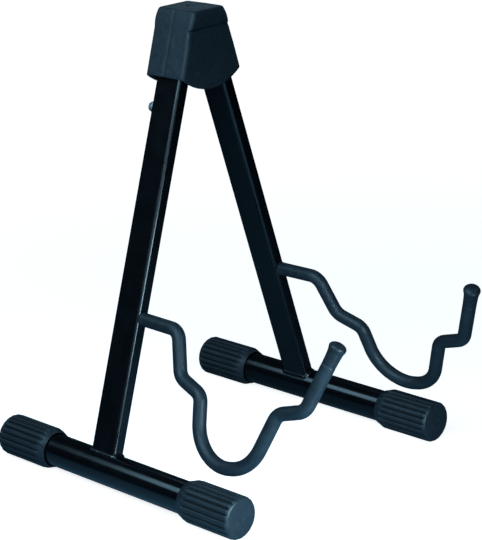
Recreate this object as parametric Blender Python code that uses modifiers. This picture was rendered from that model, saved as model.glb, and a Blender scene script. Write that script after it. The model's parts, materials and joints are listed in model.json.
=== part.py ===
"""Folding A-frame guitar stand: two legs on base tubes, hinged inside a moulded hood.

Units are metres, +Z is up, -Y is the side the arms reach to and X runs from leg to leg.
Each leg swings about a rivet in the hinge bracket, so the stand folds flat.
"""

import math

import bmesh
import bpy
from mathutils import Matrix, Vector

MM = 0.001
COLLECTION = "guitar_stand"
SIDES = {"left": -1, "right": 1}

# Clearance between pieces that touch, and between a shank and the hole it passes through.
GAP = 0.3 * MM

# Points nearer than this are one point.
WELD_DISTANCE = 0.002 * MM

# Stance.
TRACK_HALF = 112.0 * MM
PIVOT_HALF_SPACING = 10.4 * MM
LEG_REACH = 332.0 * MM

# Base tubes, measured end to end over their caps.
BASE_LENGTH = 247.6 * MM
BASE_REAR_REACH = 106.0 * MM
BASE_TUBE_RADIUS = 12.5 * MM
BASE_TUBE_WALL = 1.5 * MM

# Ribbed rubber end caps.
CAP_RADIUS = 16.15 * MM
CAP_LENGTH = 52.5 * MM
CAP_END_WALL = 3.2 * MM
CAP_COLLAR_LENGTH = 6.5 * MM
CAP_COLLAR_WALL = 1.1 * MM
CAP_RIM = 4.0 * MM
CAP_RIBS = 20
CAP_GROOVE_DEPTH = 0.9 * MM
CAP_LAND_SHARE = 0.6
CAP_FLANK_SHARE = 0.45

# Leg tubes.
LEG_DEPTH = 25.0 * MM
LEG_WIDTH = 11.0 * MM
LEG_WALL = 1.5 * MM
LEG_CORNER = 2.7 * MM
LEG_HEAD = 9.0 * MM
LEG_FOOT_RISE = 7.5 * MM

# Nylon insert in the head of each leg, and the screw that holds it.
INSERT_DROP = 68.0 * MM
INSERT_SCREW_DROP = 59.3 * MM
INSERT_SCREW_RADIUS = 1.5 * MM
INSERT_SCREW_WASHER_RADIUS = 4.3 * MM
INSERT_SCREW_WASHER_HEIGHT = 0.8 * MM
INSERT_SCREW_FLATS = 7.0 * MM
INSERT_SCREW_HEAD_HEIGHT = 4.4 * MM
INSERT_SCREW_LENGTH = 10.0 * MM
# Only this leg's insert has a screw; the other leg's is held by its rivet alone.
SCREWED_SIDE = "left"

# Hinge bracket and its rivets.
BRACKET_PLATE = 1.5 * MM
BRACKET_HALF_WIDTH = 15.4 * MM
BRACKET_DROP = 10.0 * MM
BRACKET_BEND = 2.4 * MM
SIDE_PLAY = 0.4 * MM
RIVET_RADIUS = 2.0 * MM
RIVET_HEAD_RADIUS = 4.0 * MM
RIVET_HEAD_HEIGHT = 1.3 * MM

# Moulded hood.
HOOD_WALL = 2.0 * MM
HOOD_TOP_WALL = 4.0 * MM
HOOD_TOP_HALF_WIDTH = 16.4 * MM
HOOD_TOP_MARGIN = 4.5 * MM
HOOD_CREASE_DROP = 14.0 * MM
HOOD_CREASE_HALF_WIDTH = 21.6 * MM
HOOD_CREASE_MARGIN = 5.0 * MM
HOOD_SKIRT_DROP = 48.0 * MM
HOOD_SKIRT_HALF_WIDTH = 31.9 * MM
HOOD_SKIRT_MARGIN = 5.1 * MM
HOOD_APRON_SAG = 11.6 * MM
HOOD_CORNER = 3.0 * MM
HOOD_HEM_OVERRUN = 1.25

# Screw and nut that hold the hood on the bracket.
HOOD_SCREW_RADIUS = 2.0 * MM
HOOD_SCREW_HEAD_RADIUS = 2.9 * MM
HOOD_SCREW_HEAD_HEIGHT = 1.6 * MM
HOOD_SCREW_RECESS = 2.4 * MM
HOOD_NUT_FLATS = 7.0 * MM
HOOD_NUT_HEIGHT = 2.2 * MM
HOOD_SCREW_TAIL = 0.6 * MM

# Arms: a bent steel rod in a soft sleeve, with a flared cap on its tip.
ROD_RADIUS = 3.5 * MM
SLEEVE_PLAY = 0.4 * MM
SLEEVE_WALL = 1.3 * MM
SLEEVE_RADIUS = ROD_RADIUS + SLEEVE_PLAY + SLEEVE_WALL
TIP_RADIUS = SLEEVE_RADIUS + 1.3 * MM
TIP_LENGTH = 17.0 * MM
TIP_END_WALL = 5.0 * MM
TIP_DOME_HEIGHT = 3.6 * MM
TIP_LIP_LENGTH = 2.0 * MM
TIP_LIP_DRAFT = 0.3 * MM
TIP_WAIST_DROP = 10.5 * MM
TIP_WAIST_FLARE = 0.2 * MM
ROD_SOCKET_DEPTH = 5.0 * MM
ARM_TOE_OUT = math.radians(1.7)

# Bends of the arm as (forward of the leg, above the base tube's axis, bend radius).
ARM_ROOT_HEIGHT = 116.7 * MM
ARM_BENDS = [
    (38.4 * MM, 116.4 * MM, 10.0 * MM),
    (48.8 * MM, 84.0 * MM, 11.0 * MM),
    (71.8 * MM, 75.8 * MM, 9.0 * MM),
    (81.0 * MM, 25.5 * MM, 31.0 * MM),
    (131.0 * MM, 36.0 * MM, 31.0 * MM),
    (147.2 * MM, 80.2 * MM, 11.0 * MM),
    (171.2 * MM, 87.8 * MM, 12.0 * MM),
]
ARM_TIP = (190.5 * MM, 140.0 * MM)
BEND_STEP = math.radians(13.0)

# Sizes that follow from the ones above.
LEAN = math.asin((TRACK_HALF - PIVOT_HALF_SPACING) / LEG_REACH)
RIB_PITCH = 2 * math.pi / CAP_RIBS
BASE_AXIS_HEIGHT = CAP_RADIUS * math.cos(RIB_PITCH * CAP_LAND_SHARE / 2)
PIVOT_HEIGHT = BASE_AXIS_HEIGHT + LEG_REACH * math.cos(LEAN)
HEAD_CORNER_RISE = LEG_HEAD * math.cos(LEAN) + LEG_WIDTH / 2 * math.sin(LEAN)
WEB_RISE = HEAD_CORNER_RISE + GAP
BRACKET_TOP_RISE = WEB_RISE + BRACKET_PLATE
BRACKET_HALF_DEPTH = LEG_DEPTH / 2 + SIDE_PLAY + BRACKET_PLATE
HOOD_TOP_HALF_DEPTH = BRACKET_HALF_DEPTH + HOOD_TOP_MARGIN
HOOD_CREASE_HALF_DEPTH = BRACKET_HALF_DEPTH + HOOD_CREASE_MARGIN
HOOD_SKIRT_HALF_DEPTH = BRACKET_HALF_DEPTH + HOOD_SKIRT_MARGIN
HOOD_TOP_RISE = BRACKET_TOP_RISE + GAP + HOOD_TOP_WALL

# Principled BSDF settings as (colour, roughness, metallic).
FINISHES = {
    "hood_plastic": ((0.020, 0.026, 0.032), 0.55, 0.0),
    "leg_paint": ((0.006, 0.007, 0.009), 0.28, 0.0),
    "base_paint": ((0.005, 0.006, 0.008), 0.18, 0.0),
    "cap_rubber": ((0.018, 0.023, 0.028), 0.60, 0.0),
    "sleeve_foam": ((0.018, 0.022, 0.027), 0.70, 0.0),
    "tip_rubber": ((0.017, 0.021, 0.026), 0.60, 0.0),
    "insert_nylon": ((0.045, 0.045, 0.045), 0.50, 0.0),
    "bracket_steel": ((0.46, 0.46, 0.44), 0.35, 1.0),
    "rod_steel": ((0.40, 0.40, 0.41), 0.40, 1.0),
    "rivet_steel": ((0.55, 0.55, 0.56), 0.30, 1.0),
    "screw_zinc": ((0.62, 0.63, 0.64), 0.30, 1.0),
    "screw_black": ((0.020, 0.020, 0.022), 0.40, 0.0),
}


def clear_scene():
    """Removes the objects that the scene opened with."""
    for obj in list(bpy.data.objects):
        bpy.data.objects.remove(obj)


def new_collection(name):
    """Links a new collection to the scene and returns it."""
    collection = bpy.data.collections.new(name)
    bpy.context.scene.collection.children.link(collection)
    return collection


def new_material(name):
    """Makes the Principled BSDF material that FINISHES describes."""
    colour, roughness, metallic = FINISHES[name]
    material = bpy.data.materials.new(name)
    material.use_nodes = True
    shader = material.node_tree.nodes["Principled BSDF"]
    shader.inputs["Base Color"].default_value = (*colour, 1.0)
    shader.inputs["Roughness"].default_value = roughness
    shader.inputs["Metallic"].default_value = metallic
    return material


def add_empty(name, location, rotation, collection, parent=None):
    """Adds an empty that carries other pieces."""
    empty = bpy.data.objects.new(name, None)
    empty.location = location
    empty.rotation_euler = rotation
    empty.parent = parent
    collection.objects.link(empty)
    return empty


def add_piece(name, mesh, parent, location=(0, 0, 0), rotation=(0, 0, 0)):
    """Adds a sub-part that shows the given mesh."""
    piece = bpy.data.objects.new(name, mesh)
    piece.parent = parent
    piece.location = location
    piece.rotation_euler = rotation
    PARTS.objects.link(piece)
    return piece


def add_cutter(name, mesh, location=(0, 0, 0), rotation=(0, 0, 0)):
    """Adds a hidden helper that only cuts other shapes."""
    cutter = bpy.data.objects.new(name, mesh)
    cutter.location = location
    cutter.rotation_euler = rotation
    cutter.hide_render = True
    cutter.display_type = "WIRE"
    CUTTERS.objects.link(cutter)
    return cutter


def baked_mesh(obj, name):
    """Returns the object's evaluated shape as a clean mesh and removes the object."""
    graph = bpy.context.evaluated_depsgraph_get()
    mesh = bpy.data.meshes.new_from_object(obj.evaluated_get(graph))
    mesh.name = name
    bpy.data.objects.remove(obj)
    shape = bmesh.new()
    shape.from_mesh(mesh)
    bmesh.ops.remove_doubles(shape, verts=shape.verts, dist=WELD_DISTANCE)
    shape.to_mesh(mesh)
    shape.free()
    return mesh


def finish_mesh(mesh, material, sharp_angle=math.radians(35)):
    """Gives a mesh its material and smooth shading between sharp edges."""
    mesh.materials.clear()
    mesh.materials.append(material)
    mesh.shade_smooth()
    mesh.set_sharp_from_angle(angle=sharp_angle)
    return mesh


def combined(mesh, steps, name):
    """Returns the mesh after Boolean steps, each an (operation, cutter) pair."""
    body = add_cutter(name, mesh)
    for operation, cutter in steps:
        modifier = body.modifiers.new(operation.lower(), "BOOLEAN")
        modifier.operation = operation
        modifier.solver = "EXACT"
        modifier.object = cutter
    bpy.context.view_layer.update()
    return baked_mesh(body, name)


def cut(mesh, cutters, name):
    """Returns the mesh with every cutter taken out of it."""
    return combined(mesh, [("DIFFERENCE", cutter) for cutter in cutters], name)


def outline_mesh(name, outlines, length):
    """Extrudes closed outlines, the later ones as holes, along Z and centred on Z = 0."""
    curve = bpy.data.curves.new(name, "CURVE")
    curve.dimensions = "2D"
    curve.fill_mode = "BOTH"
    curve.extrude = length / 2
    for outline in outlines:
        spline = curve.splines.new("POLY")
        spline.points.add(len(outline) - 1)
        for point, (x, y) in zip(spline.points, outline):
            point.co = (x, y, 0, 1)
        spline.use_cyclic_u = True
    return baked_mesh(add_cutter(name, curve), name)


def turned_mesh(name, profile, steps):
    """Turns a (radius, height) profile, listed down its outer side, about Z."""
    mesh = bpy.data.meshes.new(name)
    shape = bmesh.new()
    points = [shape.verts.new((radius, 0, height)) for radius, height in profile]
    ends = points[1:] if profile[0][0] == 0 and profile[-1][0] == 0 else points[1:] + points[:1]
    for start, end in zip(points, ends):
        shape.edges.new((start, end))
    shape.to_mesh(mesh)
    shape.free()
    body = add_cutter(name, mesh)
    screw = body.modifiers.new("turn", "SCREW")
    screw.steps = steps
    screw.render_steps = steps
    screw.use_merge_vertices = True
    screw.merge_threshold = WELD_DISTANCE
    bpy.context.view_layer.update()
    return baked_mesh(body, name)


def rod_mesh(name, radius, length, steps=24):
    """A plain round bar along Z, centred on Z = 0."""
    half = length / 2
    return turned_mesh(name, [(0, half), (radius, half), (radius, -half), (0, -half)], steps)


def swept_mesh(name, points, radius, resolution, wall=None):
    """A round bar along a path, or a tube of the given wall with open ends."""
    curve = bpy.data.curves.new(name, "CURVE")
    curve.dimensions = "3D"
    curve.fill_mode = "FULL"
    curve.bevel_depth = radius
    curve.bevel_resolution = resolution
    curve.use_fill_caps = wall is None
    spline = curve.splines.new("POLY")
    spline.points.add(len(points) - 1)
    for point, place in zip(spline.points, points):
        point.co = (*place, 1)
    body = add_cutter(name, curve)
    mesh = baked_mesh(body, name)
    if wall is None:
        return mesh
    tube = add_cutter(name, mesh)
    shell = tube.modifiers.new("wall", "SOLIDIFY")
    shell.thickness = wall
    shell.offset = -1
    shell.use_even_offset = True
    bpy.context.view_layer.update()
    return baked_mesh(tube, name)


def arc(centre, radius, start, end, steps):
    """Points along a circular arc, both ends included."""
    angles = [start + (end - start) * i / steps for i in range(steps + 1)]
    return [
        (centre[0] + radius * math.cos(angle), centre[1] + radius * math.sin(angle))
        for angle in angles
    ]


def rounded_rectangle(half_width, half_depth, corner, steps=4):
    """A rectangle's outline, counter-clockwise, with round corners."""
    outline = []
    signs = [(1, 1), (-1, 1), (-1, -1), (1, -1)]
    for quarter, (sign_x, sign_y) in enumerate(signs):
        centre = (sign_x * (half_width - corner), sign_y * (half_depth - corner))
        start = quarter * math.pi / 2
        outline += arc(centre, corner, start, start + math.pi / 2, steps)
    return outline


def bent_path(start, bends, end):
    """Points of a flat bent rod: straight runs joined by arcs, from (x, y, radius) bends."""
    corners = [Vector(start)] + [Vector(bend[:2]) for bend in bends] + [Vector(end)]
    path = [corners[0]]
    for before, corner, after, bend in zip(corners, corners[1:], corners[2:], bends):
        into = (corner - before).normalized()
        out_of = (after - corner).normalized()
        turn = into.angle_signed(out_of)
        radius = bend[2]
        tangent = radius * math.tan(abs(turn) / 2)
        inward = Vector((into.y, -into.x)) * math.copysign(1, turn)
        centre = corner - into * tangent + inward * radius
        steps = max(2, math.ceil(abs(turn) / BEND_STEP))
        first = corner - into * tangent - centre
        for i in range(steps + 1):
            path.append(centre + Matrix.Rotation(-turn * i / steps, 2) @ first)
    path.append(corners[-1])
    return path


def shortened(path, head, tail):
    """A path with the given lengths taken off its first and last straight runs."""
    first = path[0] + (path[1] - path[0]).normalized() * head
    last = path[-1] + (path[-2] - path[-1]).normalized() * tail
    return [first, *path[1:-1], last]


def ring(shape, outline, height):
    """Adds a closed loop of edges at the given height and returns them."""
    points = [shape.verts.new((x, y, height)) for x, y in outline]
    return [shape.edges.new(pair) for pair in zip(points, points[1:] + points[:1])]


def lofted_mesh(name, sections):
    """Bridges (outline, height) sections from the top down and closes both ends."""
    mesh = bpy.data.meshes.new(name)
    shape = bmesh.new()
    rings = [ring(shape, outline, height) for outline, height in sections]
    for upper, lower in zip(rings, rings[1:]):
        bmesh.ops.bridge_loops(shape, edges=upper + lower)
    for end in (rings[0], rings[-1]):
        bmesh.ops.contextual_create(shape, geom=end)
    bmesh.ops.recalc_face_normals(shape, faces=shape.faces)
    shape.to_mesh(mesh)
    shape.free()
    return mesh


def base_tube_mesh():
    """The round base tube along Z, open at both ends."""
    half = BASE_LENGTH / 2 - CAP_END_WALL - GAP
    inner = BASE_TUBE_RADIUS - BASE_TUBE_WALL
    profile = [(BASE_TUBE_RADIUS, half), (BASE_TUBE_RADIUS, -half), (inner, -half), (inner, half)]
    return turned_mesh("base_tube", profile, 32)


def rib_outline():
    """The cap's ribbed cross-section, with one rib's land square to -Y."""
    land = RIB_PITCH * CAP_LAND_SHARE / 2
    root = RIB_PITCH / 2 - (RIB_PITCH / 2 - land) * CAP_FLANK_SHARE
    outline = []
    for rib in range(CAP_RIBS):
        middle = -math.pi / 2 + rib * RIB_PITCH
        groove = CAP_RADIUS - CAP_GROOVE_DEPTH
        for radius, angle in [(CAP_RADIUS, -land), (CAP_RADIUS, land), (groove, root)]:
            outline.append((radius * math.cos(middle + angle), radius * math.sin(middle + angle)))
        angle = RIB_PITCH - root
        outline.append((groove * math.cos(middle + angle), groove * math.sin(middle + angle)))
    return outline


def end_cap_mesh():
    """A ribbed rubber cup along Z: closed end at Z = 0, mouth at the cap's length."""
    bore = BASE_TUBE_RADIUS + GAP
    mouth = bore + CAP_COLLAR_WALL
    outer = CAP_RADIUS + GAP
    body_end = CAP_LENGTH - CAP_COLLAR_LENGTH
    rim = arc((outer - CAP_RIM, CAP_RIM), CAP_RIM, 0, -math.pi / 2, 5)
    envelope = [(0, CAP_END_WALL), (bore, CAP_END_WALL), (bore, CAP_LENGTH)]
    envelope += [(mouth, CAP_LENGTH), (outer, body_end), *rim, (0, 0)]
    cup = add_cutter("cap_envelope", turned_mesh("cap_envelope", envelope, 48))
    prism = outline_mesh("cap_prism", [rib_outline()], CAP_LENGTH * 2)
    return combined(prism, [("INTERSECT", cup)], "end_cap")


def leg_tube_mesh(screwed):
    """The leg's tube along Z with the pivot at the origin, coped to sit on the base tube."""
    half_width = LEG_WIDTH / 2
    half_depth = LEG_DEPTH / 2
    outer = rounded_rectangle(half_width, half_depth, LEG_CORNER)
    inner = rounded_rectangle(half_width - LEG_WALL, half_depth - LEG_WALL, LEG_CORNER - LEG_WALL)
    foot = LEG_FOOT_RISE - LEG_REACH
    tube = outline_mesh("leg_tube", [outer, inner], LEG_HEAD - foot)
    tube.transform(Matrix.Translation((0, 0, (LEG_HEAD + foot) / 2)))
    along_y = (math.pi / 2, 0, 0)
    cope = rod_mesh("cope", BASE_TUBE_RADIUS + GAP, LEG_DEPTH * 2, 48)
    pivot = rod_mesh("pivot_hole", RIVET_RADIUS + GAP, LEG_DEPTH * 2)
    socket = rod_mesh("arm_hole", ROD_RADIUS + 2 * GAP, LEG_DEPTH)
    cutters = [
        add_cutter("cope", cope, (0, 0, -LEG_REACH), along_y),
        add_cutter("pivot_hole", pivot, (0, 0, 0), along_y),
        add_cutter("arm_hole", socket, (0, -half_depth, ARM_ROOT_HEIGHT - LEG_REACH), along_y),
    ]
    if screwed:
        place = (0, half_depth, -INSERT_SCREW_DROP)
        screw = rod_mesh("screw_hole", INSERT_SCREW_RADIUS + GAP, LEG_DEPTH)
        cutters.append(add_cutter("screw_hole", screw, place, along_y))
    return cut(tube, cutters, "leg_tube")


def leg_insert_mesh(screwed):
    """The nylon block that fills the leg's head and carries the pivot rivet."""
    half_width = LEG_WIDTH / 2 - LEG_WALL - GAP
    half_depth = LEG_DEPTH / 2 - LEG_WALL - GAP
    top = LEG_HEAD - GAP
    block = outline_mesh(
        "leg_insert", [rounded_rectangle(half_width, half_depth, LEG_WALL / 2, 2)], top + INSERT_DROP
    )
    block.transform(Matrix.Translation((0, 0, (top - INSERT_DROP) / 2)))
    along_y = (math.pi / 2, 0, 0)
    pivot = rod_mesh("insert_bore", RIVET_RADIUS + GAP, LEG_DEPTH * 2)
    cutters = [add_cutter("insert_bore", pivot, (0, 0, 0), along_y)]
    if screwed:
        place = (0, LEG_DEPTH / 2, -INSERT_SCREW_DROP)
        pilot = rod_mesh("insert_pilot", INSERT_SCREW_RADIUS + GAP, INSERT_SCREW_LENGTH * 2)
        cutters.append(add_cutter("insert_pilot", pilot, place, along_y))
    return cut(block, cutters, "leg_insert")


def pan_screw_mesh(name, radius, length, head_radius, head_height):
    """A pan-head screw along Z: the head's underside at Z = 0, the shank below it."""
    crown = arc((head_radius - head_height, 0), head_height, math.pi / 2, 0, 4)
    profile = [(0, head_height), *crown, (radius, 0), (radius, -length), (0, -length)]
    return turned_mesh(name, profile, 24)


def hexagon(flats):
    """A hexagon's outline with the given size across its flats, two flats facing along X."""
    corner = flats / math.sqrt(3)
    return [
        (corner * math.cos(math.radians(angle)), corner * math.sin(math.radians(angle)))
        for angle in range(30, 390, 60)
    ]


def insert_screw_mesh():
    """The hexagon screw with a fixed washer, along Z: the washer's underside at Z = 0."""
    washer = (INSERT_SCREW_WASHER_RADIUS, INSERT_SCREW_WASHER_HEIGHT)
    length = INSERT_SCREW_LENGTH - GAP
    profile = [(0, washer[1]), washer, (washer[0], 0), (INSERT_SCREW_RADIUS, 0)]
    profile += [(INSERT_SCREW_RADIUS, -length), (0, -length)]
    shank = turned_mesh("insert_screw", profile, 24)
    sunk = INSERT_SCREW_WASHER_HEIGHT / 2
    head = outline_mesh(
        "screw_head", [hexagon(INSERT_SCREW_FLATS)], INSERT_SCREW_HEAD_HEIGHT - sunk
    )
    middle = (0, 0, (INSERT_SCREW_HEAD_HEIGHT + sunk) / 2)
    return combined(shank, [("UNION", add_cutter("screw_head", head, middle))], "insert_screw")


def pivot_rivet_mesh():
    """The pivot rivet along Z, centred, with a domed head outside each bracket plate."""
    half = BRACKET_HALF_DEPTH + GAP
    dome = [
        (RIVET_HEAD_RADIUS * math.sin(angle), RIVET_HEAD_HEIGHT * math.cos(angle))
        for angle in (0, math.radians(30), math.radians(60), math.radians(90))
    ]
    upper = [(radius, half + height) for radius, height in dome] + [(RIVET_RADIUS, half)]
    lower = [(radius, -height) for radius, height in reversed(upper)]
    return turned_mesh("pivot_rivet", upper + lower, 24)


def bracket_outline(half_depth, top, bend):
    """One side of the bracket's folded section, from its foot up and over to the other foot."""
    left = arc((-half_depth + bend, top - bend), bend, math.pi, math.pi / 2, 4)
    right = arc((half_depth - bend, top - bend), bend, math.pi / 2, 0, 4)
    return [(-half_depth, -BRACKET_DROP), *left, *right, (half_depth, -BRACKET_DROP)]


def hinge_bracket_mesh():
    """The folded steel bracket: a web over two plates, pivots on Z = 0."""
    outer = bracket_outline(BRACKET_HALF_DEPTH, BRACKET_TOP_RISE, BRACKET_BEND)
    inner = bracket_outline(
        BRACKET_HALF_DEPTH - BRACKET_PLATE, WEB_RISE, BRACKET_BEND - BRACKET_PLATE
    )
    folded = outline_mesh("hinge_bracket", [outer + inner[::-1]], BRACKET_HALF_WIDTH * 2)
    # The outline's X and Y are the bracket's Y and Z.
    folded.transform(Matrix(((0, 0, 1, 0), (1, 0, 0, 0), (0, 1, 0, 0), (0, 0, 0, 1))))
    rivet = rod_mesh("rivet_hole", RIVET_RADIUS + GAP, BRACKET_HALF_DEPTH * 3)
    screw = rod_mesh("bracket_screw_hole", HOOD_SCREW_RADIUS + GAP, BRACKET_TOP_RISE)
    cutters = [
        add_cutter(f"rivet_hole_{side}", rivet, (sign * PIVOT_HALF_SPACING, 0, 0), (math.pi / 2, 0, 0))
        for side, sign in SIDES.items()
    ]
    cutters.append(add_cutter("bracket_screw_hole", screw, (0, 0, BRACKET_TOP_RISE)))
    return cut(folded, cutters, "hinge_bracket")


def hood_station(upper, lower, drop):
    """The (half width, half depth, drop) station on the straight line through two others."""
    share = (drop - upper[2]) / (lower[2] - upper[2])
    width, depth = (near + (far - near) * share for near, far in zip(upper[:2], lower[:2]))
    return (width, depth, drop)


def hood_sections(inset, top_drop, overrun):
    """The hood's cross-sections from its top to below its hem, drawn in by the inset."""
    top = (HOOD_TOP_HALF_WIDTH, HOOD_TOP_HALF_DEPTH, 0)
    crease = (HOOD_CREASE_HALF_WIDTH, HOOD_CREASE_HALF_DEPTH, HOOD_CREASE_DROP)
    skirt = (HOOD_SKIRT_HALF_WIDTH, HOOD_SKIRT_HALF_DEPTH, HOOD_SKIRT_DROP)
    low = hood_station(crease, skirt, HOOD_SKIRT_DROP + HOOD_APRON_SAG + overrun)
    corner = HOOD_CORNER - inset / 2
    return [
        (rounded_rectangle(width - inset, depth - inset, corner, 3), HOOD_TOP_RISE - drop)
        for width, depth, drop in (hood_station(top, crease, top_drop), crease, low)
    ]


def hood_mesh():
    """The moulded hood, hollow below, its skirt cut to an arc front and back."""
    shell = lofted_mesh("hood", hood_sections(0, 0, 1 * MM))
    hollow = lofted_mesh("hood_hollow", hood_sections(HOOD_WALL, HOOD_TOP_WALL, 2 * MM))
    half = HOOD_SKIRT_HALF_WIDTH
    sag = HOOD_APRON_SAG
    radius = (half * half + sag * sag) / (2 * sag)
    centre = (0, HOOD_TOP_RISE - HOOD_SKIRT_DROP - sag + radius)
    # The arc runs on past the skirt's corners so that the cut leaves no slivers there.
    reach = math.asin(half / radius) * HOOD_HEM_OVERRUN
    hem = arc(centre, radius, -math.pi / 2 - reach, -math.pi / 2 + reach, 24)
    floor = HOOD_TOP_RISE - HOOD_SKIRT_DROP - sag * 3
    below = [*hem, (hem[-1][0], floor), (hem[0][0], floor)]
    skirt = outline_mesh("hood_hem", [below[::-1]], HOOD_SKIRT_HALF_DEPTH * 4)
    screw = rod_mesh("hood_screw_hole", HOOD_SCREW_RADIUS + GAP, HOOD_TOP_WALL * 4)
    recess = rod_mesh("hood_recess", HOOD_SCREW_HEAD_RADIUS + 2 * GAP, HOOD_SCREW_RECESS * 2)
    cutters = [
        add_cutter("hood_hollow", hollow),
        add_cutter("hood_hem", skirt, (0, 0, 0), (math.pi / 2, 0, 0)),
        add_cutter("hood_screw_hole", screw, (0, 0, HOOD_TOP_RISE)),
        add_cutter("hood_recess", recess, (0, 0, HOOD_TOP_RISE)),
    ]
    return cut(shell, cutters, "hood")


def hood_nut_mesh():
    """The thin hexagon nut below the bracket's web, flats towards the legs."""
    blank = outline_mesh("hood_nut", [hexagon(HOOD_NUT_FLATS)], HOOD_NUT_HEIGHT)
    thread = rod_mesh("nut_thread", HOOD_SCREW_RADIUS + GAP, HOOD_NUT_HEIGHT * 3)
    return cut(blank, [add_cutter("nut_thread", thread)], "hood_nut")


def arm_path():
    """The arm's centre line as (forward, up) points, from inside the leg to the tip."""
    (first_x, first_y, _) = ARM_BENDS[0]
    slope = (first_y - ARM_ROOT_HEIGHT) / first_x
    inside = -ROD_SOCKET_DEPTH
    start = (inside, ARM_ROOT_HEIGHT + slope * inside)
    return bent_path(start, ARM_BENDS, ARM_TIP)


def in_arm_frame(path):
    """Places (forward, up) points in the arm's frame, which stands on the leg's front face."""
    return [(0, -forward, up) for forward, up in path]


def arm_rod_mesh():
    """The bent steel rod, from inside the leg's front wall into the tip cap."""
    path = shortened(arm_path(), 0, TIP_END_WALL + GAP)
    return swept_mesh("arm_rod", in_arm_frame(path), ROD_RADIUS, 2)


def arm_sleeve_mesh():
    """The soft sleeve over the rod, from the leg's face to the tip cap."""
    path = arm_path()
    run = (path[1] - path[0]).normalized()
    # The square-cut end leans with the rod, so its nearest edge keeps the gap to the leg.
    lean = math.acos(run.x * math.cos(ARM_TOE_OUT))
    stand_off = (GAP + SLEEVE_RADIUS * math.sin(lean)) / math.cos(ARM_TOE_OUT)
    root = (stand_off - path[0].x) / run.x
    path = shortened(path, root, TIP_LENGTH + GAP)
    return swept_mesh("arm_sleeve", in_arm_frame(path), SLEEVE_RADIUS, 3, SLEEVE_WALL)


def arm_tip_cap_mesh():
    """The flared rubber cap along Z: domed end at Z = 0, mouth below."""
    bore = SLEEVE_RADIUS - SLEEVE_WALL
    dome = [
        (TIP_RADIUS * math.sin(angle), TIP_DOME_HEIGHT * (math.cos(angle) - 1))
        for angle in (math.radians(18 * i) for i in range(6))
    ]
    lip = (TIP_RADIUS - TIP_LIP_DRAFT, -TIP_DOME_HEIGHT - TIP_LIP_LENGTH)
    waist = (SLEEVE_RADIUS + TIP_WAIST_FLARE, -TIP_WAIST_DROP)
    profile = [*dome, lip, waist, (SLEEVE_RADIUS, -TIP_LENGTH)]
    profile += [(bore, -TIP_LENGTH), (bore, -TIP_END_WALL), (0, -TIP_END_WALL)]
    return turned_mesh("arm_tip_cap", profile, 24)


def tip_rotation():
    """The turn that lays the tip cap's axis along the arm's last run."""
    last = in_arm_frame([ARM_TIP])[0]
    before = in_arm_frame([ARM_BENDS[-1][:2]])[0]
    run = Vector(last) - Vector(before)
    return run.to_track_quat("Z", "Y").to_euler()


def build_head(root, materials):
    """Builds the hood, the hinge bracket and what fastens them, on the pivots' level."""
    head = add_empty("hood_frame", (0, 0, PIVOT_HEIGHT), (0, 0, 0), PARTS, root)
    add_piece("hood", finish_mesh(hood_mesh(), materials["hood_plastic"]), head)
    add_piece("hinge_bracket", finish_mesh(hinge_bracket_mesh(), materials["bracket_steel"]), head)
    seat = HOOD_TOP_RISE - HOOD_SCREW_RECESS + GAP
    nut_top = WEB_RISE - GAP
    tail = nut_top - HOOD_NUT_HEIGHT - HOOD_SCREW_TAIL
    screw = pan_screw_mesh(
        "hood_screw", HOOD_SCREW_RADIUS, seat - tail, HOOD_SCREW_HEAD_RADIUS, HOOD_SCREW_HEAD_HEIGHT
    )
    add_piece("hood_screw", finish_mesh(screw, materials["screw_black"]), head, (0, 0, seat))
    nut = finish_mesh(hood_nut_mesh(), materials["screw_zinc"])
    add_piece("hood_nut", nut, head, (0, 0, nut_top - HOOD_NUT_HEIGHT / 2))
    rivet = finish_mesh(pivot_rivet_mesh(), materials["rivet_steel"])
    for side, sign in SIDES.items():
        place = (sign * PIVOT_HALF_SPACING, 0, 0)
        add_piece(f"pivot_rivet_{side}", rivet, head, place, (math.pi / 2, 0, 0))


def leg_meshes(materials):
    """The legs' meshes, by the name of the sub-part they show, most of them shared by both."""
    shared = {
        "insert_screw": finish_mesh(insert_screw_mesh(), materials["screw_zinc"]),
        "base_tube": finish_mesh(base_tube_mesh(), materials["base_paint"]),
        "end_cap": finish_mesh(end_cap_mesh(), materials["cap_rubber"], math.radians(20)),
        "arm_rod": finish_mesh(arm_rod_mesh(), materials["rod_steel"]),
        "arm_sleeve": finish_mesh(arm_sleeve_mesh(), materials["sleeve_foam"], math.radians(60)),
        "arm_tip_cap": finish_mesh(arm_tip_cap_mesh(), materials["tip_rubber"]),
    }
    for side in SIDES:
        tube = leg_tube_mesh(side == SCREWED_SIDE)
        insert = leg_insert_mesh(side == SCREWED_SIDE)
        shared[f"leg_tube_{side}"] = finish_mesh(tube, materials["leg_paint"])
        shared[f"leg_insert_{side}"] = finish_mesh(insert, materials["insert_nylon"])
    return shared


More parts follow.
